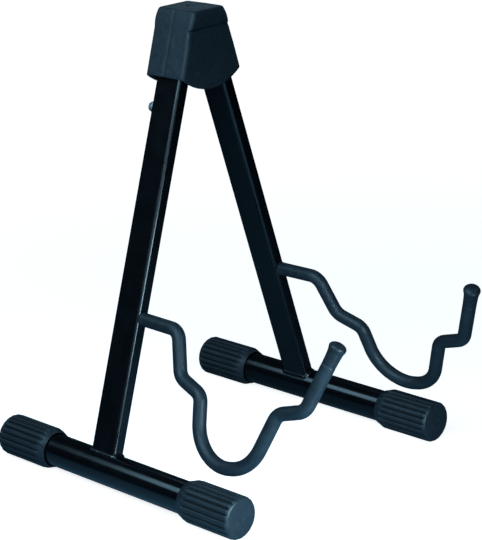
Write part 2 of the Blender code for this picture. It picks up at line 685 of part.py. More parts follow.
def build_leg(side, sign, root, meshes):
    """Builds one leg with its base tube, caps and arm, about the leg's pivot."""
    pivot = (sign * PIVOT_HALF_SPACING, 0, PIVOT_HEIGHT)
    leg = add_empty(f"leg_frame_{side}", pivot, (0, -sign * LEAN, 0), PARTS, root)
    for part in (f"leg_tube_{side}", f"leg_insert_{side}"):
        add_piece(part, meshes[part], leg)
    if side == SCREWED_SIDE:
        place = (0, LEG_DEPTH / 2 + GAP, -INSERT_SCREW_DROP)
        turn = (-math.pi / 2, 0, 0)
        add_piece(f"insert_screw_{side}", meshes["insert_screw"], leg, place, turn)
    arm_root = (0, -LEG_DEPTH / 2, -LEG_REACH)
    arm = add_empty(f"arm_frame_{side}", arm_root, (0, 0, sign * ARM_TOE_OUT), PARTS, leg)
    for part in ("arm_rod", "arm_sleeve"):
        add_piece(f"{part}_{side}", meshes[part], arm)
    tip = in_arm_frame([ARM_TIP])[0]
    add_piece(f"arm_tip_cap_{side}", meshes["arm_tip_cap"], arm, tip, tip_rotation())
    # The base is square to the floor, so it turns back by the leg's lean.
    base = add_empty(f"base_frame_{side}", (0, 0, -LEG_REACH), (0, sign * LEAN, 0), PARTS, leg)
    rear = BASE_REAR_REACH
    front = rear - BASE_LENGTH
    middle = (front + rear) / 2
    add_piece(f"base_tube_{side}", meshes["base_tube"], base, (0, middle, 0), (math.pi / 2, 0, 0))
    front_turn = (-math.pi / 2, 0, 0)
    rear_turn = (math.pi / 2, 0, 0)
    add_piece(f"front_end_cap_{side}", meshes["end_cap"], base, (0, front, 0), front_turn)
    add_piece(f"rear_end_cap_{side}", meshes["end_cap"], base, (0, rear, 0), rear_turn)


def centre_over_floor(root):
    """Slides the stand along Y so that the middle of its outline is at Y = 0."""
    bpy.context.view_layer.update()
    depths = [
        (piece.matrix_world @ vertex.co).y for piece in PARTS.objects if piece.data
        for vertex in piece.data.vertices
    ]
    root.location.y = -(min(depths) + max(depths)) / 2


clear_scene()
PARTS = new_collection(COLLECTION)
CUTTERS = new_collection("cutters")


def main():
    """Builds the whole stand at rest, open and standing."""
    materials = {name: new_material(name) for name in FINISHES}
    root = add_empty("stand", (0, 0, 0), (0, 0, 0), PARTS)
    build_head(root, materials)
    meshes = leg_meshes(materials)
    for side, sign in SIDES.items():
        build_leg(side, sign, root, meshes)
    centre_over_floor(root)


main()
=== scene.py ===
"""Looks of a folding A-frame guitar stand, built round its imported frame.

Lengths are metres: +Z is up, -Y is the side the arms reach to, X runs from leg to leg.
"""

import json
import logging
import math
from collections.abc import Sequence
from dataclasses import dataclass, field
from enum import Enum
from typing import Any

import bmesh
import bpy
from mathutils import Matrix, Vector, noise


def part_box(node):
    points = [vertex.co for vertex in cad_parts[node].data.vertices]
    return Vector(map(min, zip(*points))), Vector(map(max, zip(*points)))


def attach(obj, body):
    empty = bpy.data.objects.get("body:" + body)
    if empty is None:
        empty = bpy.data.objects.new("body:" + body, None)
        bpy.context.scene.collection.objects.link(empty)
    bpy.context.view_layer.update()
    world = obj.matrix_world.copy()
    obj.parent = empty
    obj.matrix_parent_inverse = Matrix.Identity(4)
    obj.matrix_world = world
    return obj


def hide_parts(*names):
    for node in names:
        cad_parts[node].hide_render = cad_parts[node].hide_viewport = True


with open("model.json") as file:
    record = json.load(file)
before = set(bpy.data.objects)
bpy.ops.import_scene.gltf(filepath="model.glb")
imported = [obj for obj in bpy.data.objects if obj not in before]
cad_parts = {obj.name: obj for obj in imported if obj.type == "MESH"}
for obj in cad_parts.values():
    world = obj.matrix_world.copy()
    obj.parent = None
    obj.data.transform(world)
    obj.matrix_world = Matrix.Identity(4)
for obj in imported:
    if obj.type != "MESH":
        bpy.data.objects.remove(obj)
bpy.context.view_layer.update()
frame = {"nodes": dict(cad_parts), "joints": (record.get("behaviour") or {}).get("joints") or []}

LOG = logging.getLogger("guitar_stand")
MM = 0.001
TURN = 2 * math.pi
ALONG_Y = math.pi / 2

# Points nearer than this are one point.
WELD = 0.002 * MM
# An edge rounded tighter than this radius takes wear.
WORN_RADIUS = 3.0 * MM

Point = tuple[float, float]
Colour = tuple[float, float, float]


class Side(Enum):
    """The two legs, by the sign of X on their side."""

    LEFT = -1
    RIGHT = 1

    @property
    def word(self) -> str:
        """The side's name as it ends the names of pieces."""
        return self.name.lower()

    @property
    def body(self) -> str:
        """The body that the side's leg moves with."""
        return f"{self.word}_leg"


class Ends(Enum):
    """How a loft closes."""

    CAPPED = "capped"
    JOINED = "joined"


class Slot(Enum):
    """The record's material slots."""

    HOOD = "hood_plastic"
    LEG = "leg_paint"
    BASE = "base_paint"
    CAP = "cap_rubber"
    SLEEVE = "sleeve_foam"
    TIP = "tip_rubber"
    INSERT = "insert_nylon"
    BRACKET = "bracket_steel"
    ROD = "rod_steel"
    RIVET = "rivet_steel"
    ZINC = "screw_zinc"
    BLACK = "screw_black"


# --- Shader maths ---------------------------------------------------------------------------


class Signal:
    """A shader value or colour that takes part in Python expressions."""

    def __init__(self, shader: "Shader", socket: bpy.types.NodeSocket) -> None:
        """Wraps a socket.

        Args:
            shader: The shader whose tree holds the socket.
            socket: The output to wrap.
        """
        self.shader = shader
        self.socket = socket

    def _math(self, operation: str, first: Any, second: Any) -> "Signal":
        """Adds one Math node and returns its value."""
        return self.shader.signal("ShaderNodeMath", {"operation": operation}, {0: first, 1: second})

    def __add__(self, other: "Signal | float") -> "Signal":
        """The sum."""
        return self._math("ADD", self, other)

    def __radd__(self, other: float) -> "Signal":
        """The sum, reflected."""
        return self._math("ADD", other, self)

    def __sub__(self, other: "Signal | float") -> "Signal":
        """The difference."""
        return self._math("SUBTRACT", self, other)

    def __rsub__(self, other: float) -> "Signal":
        """The difference, reflected."""
        return self._math("SUBTRACT", other, self)

    def __mul__(self, other: "Signal | float") -> "Signal":
        """The product."""
        return self._math("MULTIPLY", self, other)

    def __rmul__(self, other: float) -> "Signal":
        """The product, reflected."""
        return self._math("MULTIPLY", other, self)

    def __pow__(self, other: float) -> "Signal":
        """The power."""
        return self._math("POWER", self, other)


class Shader:
    """The node tree of one material, ending in a Principled BSDF."""

    def __init__(self, name: str) -> None:
        """Makes the material with an empty tree.

        Args:
            name: The material's name.
        """
        self.material = bpy.data.materials.new(name)
        self.material.use_nodes = True
        self.tree = self.material.node_tree
        self.tree.nodes.clear()

    def node(
        self, kind: str, settings: dict[str, Any], inputs: dict[str | int, Any]
    ) -> bpy.types.Node:
        """Adds any node.

        Args:
            kind: The node's type name.
            settings: Properties set first; "stops" lists a ramp's (position, colour) pairs.
            inputs: Values or signals by the socket's identifier, name or number.

        Returns:
            The new node.
        """
        made = self.tree.nodes.new(kind)
        for key, value in settings.items():
            if key == "stops":
                ramp = made.color_ramp.elements
                while len(ramp) < len(value):
                    ramp.new(1.0)
                for element, (position, colour) in zip(ramp, value):
                    element.position = position
                    element.color = (*colour, 1.0)
            else:
                setattr(made, key, value)
        for key, value in inputs.items():
            socket = self._socket(made.inputs, key)
            if isinstance(value, Signal):
                self.tree.links.new(value.socket, socket)
            else:
                socket.default_value = value
        return made

    @staticmethod
    def _socket(sockets: Any, key: str | int) -> bpy.types.NodeSocket:
        """Finds a socket by number, identifier or name.

        Args:
            sockets: The node's inputs or outputs.
            key: The wanted socket.

        Returns:
            The socket.
        """
        if isinstance(key, int):
            return sockets[key]
        return next((s for s in sockets if s.identifier == key), None) or sockets[key]

    def signal(
        self,
        kind: str,
        settings: dict[str, Any],
        inputs: dict[str | int, Any],
        output: str | int = 0,
    ) -> Signal:
        """Adds any node and wraps one of its outputs.

        Args:
            kind: The node's type name.
            settings: Properties set first.
            inputs: Values or signals of its sockets.
            output: The wanted output's identifier, name or number.

        Returns:
            The wrapped output.
        """
        return Signal(self, self._socket(self.node(kind, settings, inputs).outputs, output))

    def place(self) -> Signal:
        """The point's place on the object."""
        return self.signal("ShaderNodeTexCoord", {}, {}, "Object")

    def skin(self) -> Signal:
        """The point's place before its piece was bent or turned into position."""
        return self.signal("ShaderNodeAttribute", {"attribute_name": "skin"}, {}, "Vector")

    def worn(self) -> Signal:
        """How much a convex edge is rubbed, from 0 to 1."""
        return self.signal("ShaderNodeAttribute", {"attribute_name": "worn"}, {}, "Fac")

    def reach(self, place: Signal, axes: Colour) -> Signal:
        """Distance of the place from the origin along the given axes.

        Args:
            place: The point.
            axes: One for each axis that counts and zero for the others.

        Returns:
            The distance in metres.
        """
        kept = self.signal(
            "ShaderNodeVectorMath", {"operation": "MULTIPLY"}, {0: place, 1: axes}, "Vector"
        )
        return self.signal("ShaderNodeVectorMath", {"operation": "LENGTH"}, {0: kept}, "Value")

    def stretched(self, place: Signal, scale: Colour) -> Signal:
        """The place with a scale on each axis."""
        return self.signal("ShaderNodeMapping", {}, {"Vector": place, "Scale": scale})

    def cloud(self, place: Signal, size: float, detail: float = 3.0) -> Signal:
        """Smooth noise from 0 to 1 with features of the given size."""
        inputs = {"Vector": place, "Scale": 1 / size, "Detail": detail}
        return self.signal("ShaderNodeTexNoise", {}, inputs, "Fac")

    def cells(self, place: Signal, size: float) -> Signal:
        """Distance to the nearest of scattered points the given size apart."""
        return self.signal("ShaderNodeTexVoronoi", {}, {"Vector": place, "Scale": 1 / size})

    def between(self, value: Signal, low: float, high: float) -> Signal:
        """The value's position between two limits, clamped and eased.

        Args:
            value: The value.
            low: The limit that gives 0.
            high: The limit that gives 1.

        Returns:
            The position, from 0 to 1.
        """
        return self.signal(
            "ShaderNodeMapRange",
            {"interpolation_type": "SMOOTHSTEP"},
            {"Value": value, "From Min": low, "From Max": high},
        )

    def blend(self, share: Signal, first: Any, second: Any) -> Signal:
        """A colour mixed from two others."""
        inputs = {"Factor_Float": share, "A_Color": first, "B_Color": second}
        return self.signal("ShaderNodeMix", {"data_type": "RGBA"}, inputs, "Result_Color")

    def bump(self, height: Signal, depth: float, under: Signal | None = None) -> Signal:
        """A normal bent by a height field of the given depth.

        Args:
            height: The height.
            depth: Its depth.
            under: A normal to bend further.

        Returns:
            The bent normal.
        """
        inputs: dict[str | int, Any] = {"Height": height, "Distance": depth, "Strength": 1.0}
        if under:
            inputs["Normal"] = under
        return self.signal("ShaderNodeBump", {}, inputs, "Normal")

    def finish(self, **inputs: Any) -> bpy.types.Material:
        """Closes the tree with a Principled BSDF and returns the material.

        Args:
            inputs: Values or signals of its sockets.

        Returns:
            The material.
        """
        sockets = {key.replace("_", " "): value for key, value in inputs.items()}
        surface = self.signal("ShaderNodeBsdfPrincipled", {}, sockets, "BSDF")
        self.node("ShaderNodeOutputMaterial", {}, {"Surface": surface})
        return self.material


def opaque(colour: Colour, gain: float = 1.0) -> tuple[float, float, float, float]:
    """The colour with full alpha, brightened by a gain."""
    return (colour[0] * gain, colour[1] * gain, colour[2] * gain, 1.0)


# --- Finishes -------------------------------------------------------------------------------


@dataclass(frozen=True)
class MouldedPlastic:
    """Matte moulded plastic: fine spark-eroded grain, cloudy tone, edges rubbed smooth."""

    name: str
    colour: Colour
    roughness: float = 0.56
    grain: float = 0.42 * MM
    grain_depth: float = 0.035 * MM

    def material(self) -> bpy.types.Material:
        """Builds the material.

        Returns:
            The material.
        """
        shader = Shader(self.name)
        place = shader.place()
        grain = shader.cells(place, self.grain)
        fine = shader.cloud(place, self.grain * 0.5, 2.0)
        mottle = shader.between(shader.cloud(place, 3.2 * MM, 4.0), 0.30, 0.70)
        drift = shader.between(shader.cloud(place, 17.0 * MM), 0.35, 0.65)
        worn = shader.worn() * shader.between(shader.cloud(place, 2.1 * MM), 0.25, 0.7)
        base = shader.blend(mottle, opaque(self.colour, 0.78), opaque(self.colour, 1.18))
        base = shader.blend(drift * 0.4, base, opaque(self.colour, 0.80))
        base = shader.blend(worn * 0.55, base, opaque(self.colour, 2.1))
        height = grain * 0.7 + fine * 0.3
        return shader.finish(
            Base_Color=base,
            Roughness=self.roughness + mottle * 0.07 - worn * 0.12,
            Normal=shader.bump(height, self.grain_depth, shader.bump(mottle, 0.05 * MM)),
        )


@dataclass(frozen=True)
class Enamel:
    """Stoved enamel: soft orange peel, pinhead dust, edges where the film is thin and bright."""

    name: str
    colour: Colour
    roughness: float
    peel: float = 2.4 * MM
    peel_depth: float = 0.012 * MM

    def material(self) -> bpy.types.Material:
        """Builds the material.

        Returns:
            The material.
        """
        shader = Shader(self.name)
        place = shader.place()
        peel = shader.cloud(place, self.peel, 2.0)
        haze = shader.between(shader.cloud(place, 14.0 * MM, 4.0), 0.35, 0.7)
        nibs = shader.between(shader.cells(place, 4.5 * MM), 0.07, 0.03)
        streaks = shader.stretched(place, (1.0, 0.12, 0.12))
        rubs = shader.between(shader.cloud(streaks, 0.9 * MM, 5.0), 0.66, 0.78)
        worn = shader.worn() * shader.between(shader.cloud(place, 5.0 * MM), 0.35, 0.75)
        base = shader.blend(haze, opaque(self.colour), opaque(self.colour, 1.5))
        base = shader.blend(worn * 0.5, base, opaque(self.colour, 4.0))
        height = peel + nibs * 0.8
        return shader.finish(
            Base_Color=base,
            Roughness=self.roughness + haze * 0.05 + rubs * 0.09,
            Coat_Weight=0.35 - rubs * 0.2,
            Coat_Roughness=0.10,
            Normal=shader.bump(height, self.peel_depth),
        )


@dataclass(frozen=True)
class Grooves:
    """Where painted shade goes along a ribbed skin's grooves: radii of their floor and crowns, and
    where they end.
    """

    floor: float
    crown: float
    start: float
    end: float
    fade: float = 1.5 * MM

    def shade(self, shader: Shader, place: Signal) -> Signal:
        """How much painted shade a point takes: how far down in a groove it lies.

        Args:
            shader: The shader that is being built.
            place: The point, with the grooves along Z.

        Returns:
            From 0 on a crown, or past the grooves' ends, to 1 on a floor.
        """
        height = shader.reach(place, (0.0, 0.0, 1.0))
        crown = shader.between(shader.reach(place, (1.0, 1.0, 0.0)), self.floor, self.crown)
        begun = shader.between(height, self.start, self.start + self.fade)
        return (1 - crown) * begun * (1 - shader.between(height, self.end - self.fade, self.end))


@dataclass(frozen=True)
class MouldedRubber:
    """Dull rubber: sooty grain, a pale bloom, crowns rubbed paler and painted shade darkening the
    groove hollows.
    """

    name: str
    colour: Colour
    roughness: float = 0.60
    grain: float = 0.30 * MM
    grooves: Grooves | None = None

    def material(self) -> bpy.types.Material:
        """Builds the material.

        Returns:
            The material.
        """
        shader = Shader(self.name)
        place = shader.skin()
        grain = shader.cloud(place, self.grain, 4.0)
        bloom = shader.between(shader.cloud(place, 5.5 * MM, 5.0), 0.42, 0.72)
        specks = shader.between(shader.cells(place, 1.6 * MM), 0.10, 0.02)
        worn = shader.worn() * shader.between(shader.cloud(place, 3.0 * MM), 0.2, 0.7)
        base = shader.blend(bloom * 0.6, opaque(self.colour, 0.85), opaque(self.colour, 1.35))
        base = shader.blend(worn * 0.35, base, opaque(self.colour, 1.6))
        base = shader.blend(specks * 0.5, base, opaque(self.colour, 2.2))
        if self.grooves:
            shade = self.grooves.shade(shader, place)
            # Painted shade: groove floors are darkened almost to black.
            base = shader.blend(shade * 0.9, base, opaque(self.colour, 0.05))
        return shader.finish(
            Base_Color=base,
            Roughness=self.roughness + bloom * 0.12 - worn * 0.16,
            Normal=shader.bump(grain, 0.03 * MM),
        )


@dataclass(frozen=True)
class SleeveSkin:
    """Extruded soft sleeve: closed pores, faint draw lines along its length, a soft sheen."""

    name: str
    colour: Colour
    roughness: float = 0.52
    pore: float = 0.55 * MM

    def material(self) -> bpy.types.Material:
        """Builds the material.

        Returns:
            The material.
        """
        shader = Shader(self.name)
        place = shader.skin()
        pores = shader.cells(place, self.pore)
        drawn = shader.stretched(place, (1.0, 1.0, 0.04))
        lines = shader.cloud(drawn, 0.7 * MM, 3.0)
        cloudy = shader.between(shader.cloud(place, 7.0 * MM, 4.0), 0.35, 0.7)
        worn = shader.worn()
        base = shader.blend(cloudy, opaque(self.colour, 0.85), opaque(self.colour, 1.25))
        base = shader.blend(worn * 0.5, base, opaque(self.colour, 1.9))
        height = pores * 0.5 + lines * 0.5
        return shader.finish(
            Base_Color=base,
            Roughness=self.roughness + cloudy * 0.10,
            Normal=shader.bump(height, 0.05 * MM),
        )


@dataclass(frozen=True)
class PlatedSteel:
    """Zinc-plated steel: fine brushing, a faint straw tint that comes and goes, dull spots."""

    name: str
    colour: Colour
    roughness: float = 0.28
    tint: Colour = (0.60, 0.55, 0.42)

    def material(self) -> bpy.types.Material:
        """Builds the material.

        Returns:
            The material.
        """
        shader = Shader(self.name)
        place = shader.place()
        brushed = shader.cloud(shader.stretched(place, (1.0, 0.08, 1.0)), 0.25 * MM, 4.0)
        straw = shader.between(shader.cloud(place, 4.0 * MM, 3.0), 0.45, 0.75)
        dull = shader.between(shader.cloud(place, 1.1 * MM, 4.0), 0.55, 0.8)
        base = shader.blend(straw * 0.35, opaque(self.colour), opaque(self.tint))
        base = shader.blend(dull * 0.5, base, opaque(self.colour, 0.55))
        return shader.finish(
            Base_Color=base,
            Metallic=1.0,
            Roughness=self.roughness + dull * 0.25,
            Normal=shader.bump(brushed, 0.008 * MM),
        )


FINISHES = {
    Slot.HOOD: MouldedPlastic("hood_plastic", (0.020, 0.030, 0.038)),
    Slot.LEG: Enamel("leg_enamel", (0.0018, 0.0022, 0.0030), 0.27),
    Slot.BASE: Enamel("base_enamel", (0.0015, 0.0019, 0.0027), 0.17, peel_depth=0.007 * MM),
    Slot.CAP: MouldedRubber(
        "cap_rubber",
        (0.019, 0.027, 0.034),
        0.42,
        # The cap's groove floors take painted shade.
        grooves=Grooves(14.9 * MM, 15.95 * MM, 3.4 * MM, 45.0 * MM),
    ),
    Slot.SLEEVE: SleeveSkin("sleeve_skin", (0.016, 0.025, 0.032), 0.44),
    Slot.TIP: MouldedRubber("tip_rubber", (0.017, 0.025, 0.032), 0.46),
    Slot.INSERT: MouldedPlastic("insert_nylon", (0.045, 0.046, 0.048), 0.45),
    Slot.BRACKET: PlatedSteel("bracket_plate", (0.46, 0.46, 0.44), 0.36),
    Slot.ROD: PlatedSteel("rod_steel", (0.40, 0.40, 0.41), 0.40, (0.30, 0.27, 0.24)),
    Slot.RIVET: PlatedSteel("rivet_plate", (0.55, 0.55, 0.56), 0.30),
    Slot.ZINC: PlatedSteel("screw_zinc", (0.72, 0.74, 0.76), 0.46),
    Slot.BLACK: Enamel("screw_oxide", (0.010, 0.011, 0.013), 0.38, 0.8 * MM, 0.01 * MM),
}


# --- Outlines and paths ---------------------------------------------------------------------


def arc(centre: Point, radius: float, start: float, end: float, steps: int) -> list[Point]:
    """Points along a circular arc, both ends included.

    Args:
        centre: Its centre.
        radius: Its radius.
        start: Where it starts, in radians.
        end: Where it ends, in radians.
        steps: How many steps it takes.

    Returns:
        The points.
    """
    angles = [start + (end - start) * i / steps for i in range(steps + 1)]
    return [
        (centre[0] + radius * math.cos(angle), centre[1] + radius * math.sin(angle))
        for angle in angles
    ]


def circle(radius: float, steps: int) -> list[Point]:
    """Points round a circle, counter-clockwise from +X."""
    return arc((0.0, 0.0), radius, 0.0, TURN, steps)[:-1]


def rounded_rectangle(half_x: float, half_y: float, corner: float, steps: int = 8) -> list[Point]:
    """A rectangle's outline with round corners and a support point beside each corner.

    Args:
        half_x: Half its width.
        half_y: Half its depth.
        corner: The corners' radius.
        steps: Segments in each corner.

    Returns:
        The outline, counter-clockwise.
    """
    outline: list[Point] = []
    support = 0.12 * corner
    for quarter, (sign_x, sign_y) in enumerate([(1, 1), (-1, 1), (-1, -1), (1, -1)]):
        centre = (sign_x * (half_x - corner), sign_y * (half_y - corner))
        start = quarter * TURN / 4
        bend = arc(centre, corner, start, start + TURN / 4, steps)
        into = Vector((-math.sin(start), math.cos(start))) * -support
        out_of = Vector((-math.cos(start), -math.sin(start))) * support
        first, last = Vector(bend[0]) + into, Vector(bend[-1]) + out_of
        outline += [(first.x, first.y), *bend, (last.x, last.y)]
    return outline


def eased(value: float, low: float, high: float) -> float:
    """The value's position between two limits, clamped to 0 and 1 and eased."""
    share = min(1.0, max(0.0, (value - low) / (high - low)))
    return share * share * (3 - 2 * share)


def loft(
    sections: Sequence[Sequence[Vector]],
    ends: Ends,
    skins: Sequence[Sequence[Vector]] | None = None,
) -> bmesh.types.BMesh:
    """Extrudes a closed ring from section to section.

    Args:
        sections: Rings of equally many points, in order along the surface.
        ends: Whether the first and last rings are filled or joined to each other.
        skins: The points' places before bending, where these differ from the sections.

    Returns:
        The closed shape.
    """
    shape = bmesh.new()
    skin = shape.verts.layers.float_vector.new("skin")
    ring = [shape.verts.new(point) for point in sections[0]]
    edges = [shape.edges.new(pair) for pair in zip(ring, ring[1:] + ring[:1])]
    first = edges
    rings = [ring]
    for section in sections[1:]:
        made = bmesh.ops.extrude_edge_only(shape, edges=edges)["geom"]
        fresh = {item for item in made if isinstance(item, bmesh.types.BMVert)}
        ring = [
            next(e.other_vert(vert) for e in vert.link_edges if e.other_vert(vert) in fresh)
            for vert in rings[-1]
        ]
        for vert, point in zip(ring, section):
            vert.co = point
        edges = [shape.edges.get(pair) for pair in zip(ring, ring[1:] + ring[:1])]
        rings.append(ring)
    for ring, places in zip(rings, skins or sections):
        for vert, point in zip(ring, places):
            vert[skin] = point
    if ends is Ends.JOINED:
        bmesh.ops.bridge_loops(shape, edges=first + edges)
    else:
        for loop in (first, edges):
            bmesh.ops.contextual_create(shape, geom=loop)
    return shape


def level(outline: Sequence[Point], height: float) -> list[Vector]:
    """An outline laid flat at one height."""
    return [Vector((x, y, height)) for x, y in outline]


def turned(profile: Sequence[Point], steps: int) -> bmesh.types.BMesh:
    """Spins a (radius, height) profile about Z into a closed solid of revolution.

    Args:
        profile: Points from one end of the surface to the other. It closes on the axis, or
            where both ends are off the axis, on itself.
        steps: Segments round the axis.

    Returns:
        The turned shape.
    """
    shape = bmesh.new()
    skin = shape.verts.layers.float_vector.new("skin")
    points = [shape.verts.new((radius, 0.0, height)) for radius, height in profile]
    on_axis = profile[0][0] == 0 and profile[-1][0] == 0
    ends = points[1:] if on_axis else points[1:] + points[:1]
    edges = [shape.edges.new(pair) for pair in zip(points, ends)]
    bmesh.ops.spin(
        shape, geom=points + edges, axis=(0, 0, 1), angle=TURN, steps=steps, use_merge=True
    )
    bmesh.ops.remove_doubles(shape, verts=shape.verts, dist=WELD)
    for vert in shape.verts:
        vert[skin] = vert.co
    return shape


def softened(profile: Sequence[Point], radius: float, steps: int = 3) -> list[Point]:
    """Rounds the inner corners of an open profile with short arcs of about one radius.

    Args:
        profile: The open profile.
        radius: Its radius.
        steps: How many steps it takes.

    Returns:
        The rounded profile.
    """
    points = [Vector(point) for point in profile]
    smooth = [points[0]]
    for before, corner, after in zip(points, points[1:], points[2:]):
        into, out_of = before - corner, after - corner
        reach = min(radius, into.length * 0.45, out_of.length * 0.45)
        start = corner + into.normalized() * reach
        end = corner + out_of.normalized() * reach
        for i in range(steps + 1):
            share = i / steps
            smooth.append(start.lerp(corner, share).lerp(corner.lerp(end, share), share))
    smooth.append(points[-1])
    return [(point.x, point.y) for point in smooth]


def bent_path(
    start: Point, bends: Sequence[tuple[float, float, float]], end: Point, step: float
) -> list[Vector]:
    """Points of a flat bent rod: straight runs joined by arcs.

    Args:
        start: The first point.
        bends: Corners as (x, y, radius).
        end: The last point.
        step: The most that two neighbouring points on an arc may turn.

    Returns:
        The points in order.
    """
    corners = [Vector(start)] + [Vector(bend[:2]) for bend in bends] + [Vector(end)]
    path = [corners[0]]
    for before, corner, after, bend in zip(corners, corners[1:], corners[2:], bends):
        into = (corner - before).normalized()
        out_of = (after - corner).normalized()
        turn = into.angle_signed(out_of)
        tangent = bend[2] * math.tan(abs(turn) / 2)
        inward = Vector((into.y, -into.x)) * math.copysign(1, turn)
        centre = corner - into * tangent + inward * bend[2]
        steps = max(2, math.ceil(abs(turn) / step))
        first = corner - into * tangent - centre
        for i in range(steps + 1):
            path.append(centre + Matrix.Rotation(-turn * i / steps, 2) @ first)
    path.append(corners[-1])
    return path


# --- Turning shapes into pieces -------------------------------------------------------------


def mark_worn(shape: bmesh.types.BMesh) -> None:
    """Stores on each point how tightly convex the surface is there.

    Args:
        shape: The shape.
    """
    worn = shape.verts.layers.float.new("worn")
    for vert in shape.verts:
        tightest = 0.0
        for edge in vert.link_edges:
            if len(edge.link_faces) == 2 and edge.calc_length() > WELD:
                across = sum(face.calc_area() for face in edge.link_faces) / edge.calc_length() / 2
                bend = edge.calc_face_angle_signed(0.0)
                tightest = max(tightest, bend * WORN_RADIUS / max(across, WELD))
        vert[worn] = eased(tightest, 0.8, 2.2)


class Workshop:
    """Turns shapes into pieces of the stand and dresses them."""

    def __init__(self) -> None:
        """Builds every finish once."""
        self.materials = {slot: finish.material() for slot, finish in FINISHES.items()}

    def piece(
        self,
        name: str,
        shape: bmesh.types.BMesh,
        slot: Slot,
        body: str,
        place: Matrix,
        nodes: Sequence[str] = (),
        crisp: float = math.radians(38),
    ) -> bpy.types.Object:
        """Finishes a shape as a piece that moves with a body.

        Args:
            name: The piece's name.
            shape: Its shape, in its own frame; it is used up.
            slot: The material slot it takes its finish from.
            body: The body it moves with.
            place: Where its frame stands.
            nodes: The frame's nodes that it stands for.
            crisp: The angle past which an edge stays sharp.

        Returns:
            The new piece.
        """
        bmesh.ops.remove_doubles(shape, verts=shape.verts, dist=WELD)
        bmesh.ops.recalc_face_normals(shape, faces=shape.faces)
        mark_worn(shape)
        shape.transform(place)
        mesh = bpy.data.meshes.new(name)
        shape.to_mesh(mesh)
        shape.free()
        mesh.shade_smooth()
        mesh.set_sharp_from_angle(angle=crisp)
        mesh.materials.append(self.materials[slot])
        made = bpy.data.objects.new(name, mesh)
        bpy.context.scene.collection.objects.link(made)
        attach(made, body)
        if nodes:
            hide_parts(*nodes)
        LOG.info("%s: %d points on %s", name, len(mesh.vertices), body)
        return made

    def dress(self, node: str, slot: Slot) -> None:
        """Gives a node of the frame its finish.

        Args:
            node: The node's name.
            slot: Its finish.
        """
        mesh = frame["nodes"][node].data
        mesh.materials.clear()
        mesh.materials.append(self.materials[slot])


# --- Where things stand ---------------------------------------------------------------------


@dataclass(frozen=True)
class Stance:
    """Where one leg stands: its pivot, its lean and its reach to the base tube."""

    side: Side
    pivot: Vector
    lean: float
    reach: float

    @classmethod
    def of(cls, side: Side) -> "Stance":
        """Reads a leg's stance from the frame.

        Args:
            side: Which leg it is.

        Returns:
            The stance.
        """
        joint = next(j for j in frame["joints"] if j["child"] == side.body)
        pivot = Vector(joint["pos_m"])
        low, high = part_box(f"base_tube_{side.word}")
        foot = (low + high) / 2
        run = Vector((abs(foot.x) - abs(pivot.x), pivot.z - foot.z))
        return cls(side, pivot, math.atan2(run.x, run.y), run.length)

    def leg(self) -> Matrix:
        """The leg's frame: its pivot at the origin, its tube along Z."""
        turn = Matrix.Rotation(-self.side.value * self.lean, 4, "Y")
        return Matrix.Translation(self.pivot) @ turn

    def arm(self, half_depth: float, toe_out: float) -> Matrix:
        """The arm's frame, on the leg's front face at the base tube's level."""
        root = Matrix.Translation((0.0, -half_depth, -self.reach))
        return self.leg() @ root @ Matrix.Rotation(self.side.value * toe_out, 4, "Z")


HEAD_BODY = "head"
STANCES = {side: Stance.of(side) for side in Side}
PIVOT_HEIGHT = STANCES[Side.LEFT].pivot.z
HEAD_PLACE = Matrix.Translation((0.0, STANCES[Side.LEFT].pivot.y, PIVOT_HEIGHT))


def straight_hole(radius: float, length: float) -> bmesh.types.BMesh:
    """A plain cylinder along Z, centred, that drills a hole."""
    half = length / 2
    return turned([(0.0, half), (radius, half), (radius, -half), (0.0, -half)], 32)


def cross_slot(width: float, length: float, depth: float) -> list[bmesh.types.BMesh]:
    """The two tapered bars of a cross recess, cut down from Z = 0.

    Args:
        width: Its width.
        length: Its length.
        depth: Its depth.

    Returns:
        The bars.
    """
    bars = []
    for angle in (0.0, TURN / 4):
        bar = bmesh.new()
        bmesh.ops.create_cube(bar, size=1.0)
        bmesh.ops.scale(bar, vec=(length, width, 2 * depth), verts=bar.verts)
        low = [vert for vert in bar.verts if vert.co.z < 0]
        bmesh.ops.scale(bar, vec=(0.45, 0.7, 1.0), verts=low)
        turn = Matrix.Rotation(angle, 3, "Z")
        bmesh.ops.rotate(bar, cent=(0, 0, 0), matrix=turn, verts=bar.verts)
        bars.append(bar)
    return bars


def carved(
    shape: bmesh.types.BMesh, cutters: Sequence[tuple[bmesh.types.BMesh, Matrix]]
) -> bmesh.types.BMesh:
    """Takes cutters out of a closed shape.

    Args:
        shape: The shape, which is used up.
        cutters: Closed shapes and where they stand in its frame; they are used up too.

    Returns:
        What is left of the shape.
    """
    made = []
    for number, (part, place) in enumerate([(shape, Matrix()), *cutters]):
        bmesh.ops.recalc_face_normals(part, faces=part.faces)
        part.transform(place)
        mesh = bpy.data.meshes.new(f"blank_{number}")
        part.to_mesh(mesh)
        part.free()
        blank = bpy.data.objects.new(mesh.name, mesh)
        bpy.context.scene.collection.objects.link(blank)
        made.append(blank)
    for cutter in made[1:]:
        modifier = made[0].modifiers.new("carve", "BOOLEAN")
        modifier.operation = "DIFFERENCE"
        modifier.solver = "EXACT"
        modifier.object = cutter
    graph = bpy.context.evaluated_depsgraph_get()
    result = bmesh.new()
    result.from_mesh(made[0].evaluated_get(graph).to_mesh())
    for blank in made:
        bpy.data.meshes.remove(blank.data)
    skin = result.verts.layers.float_vector.get("skin")
    for vert in result.verts:
        vert[skin] = vert.co
    return result


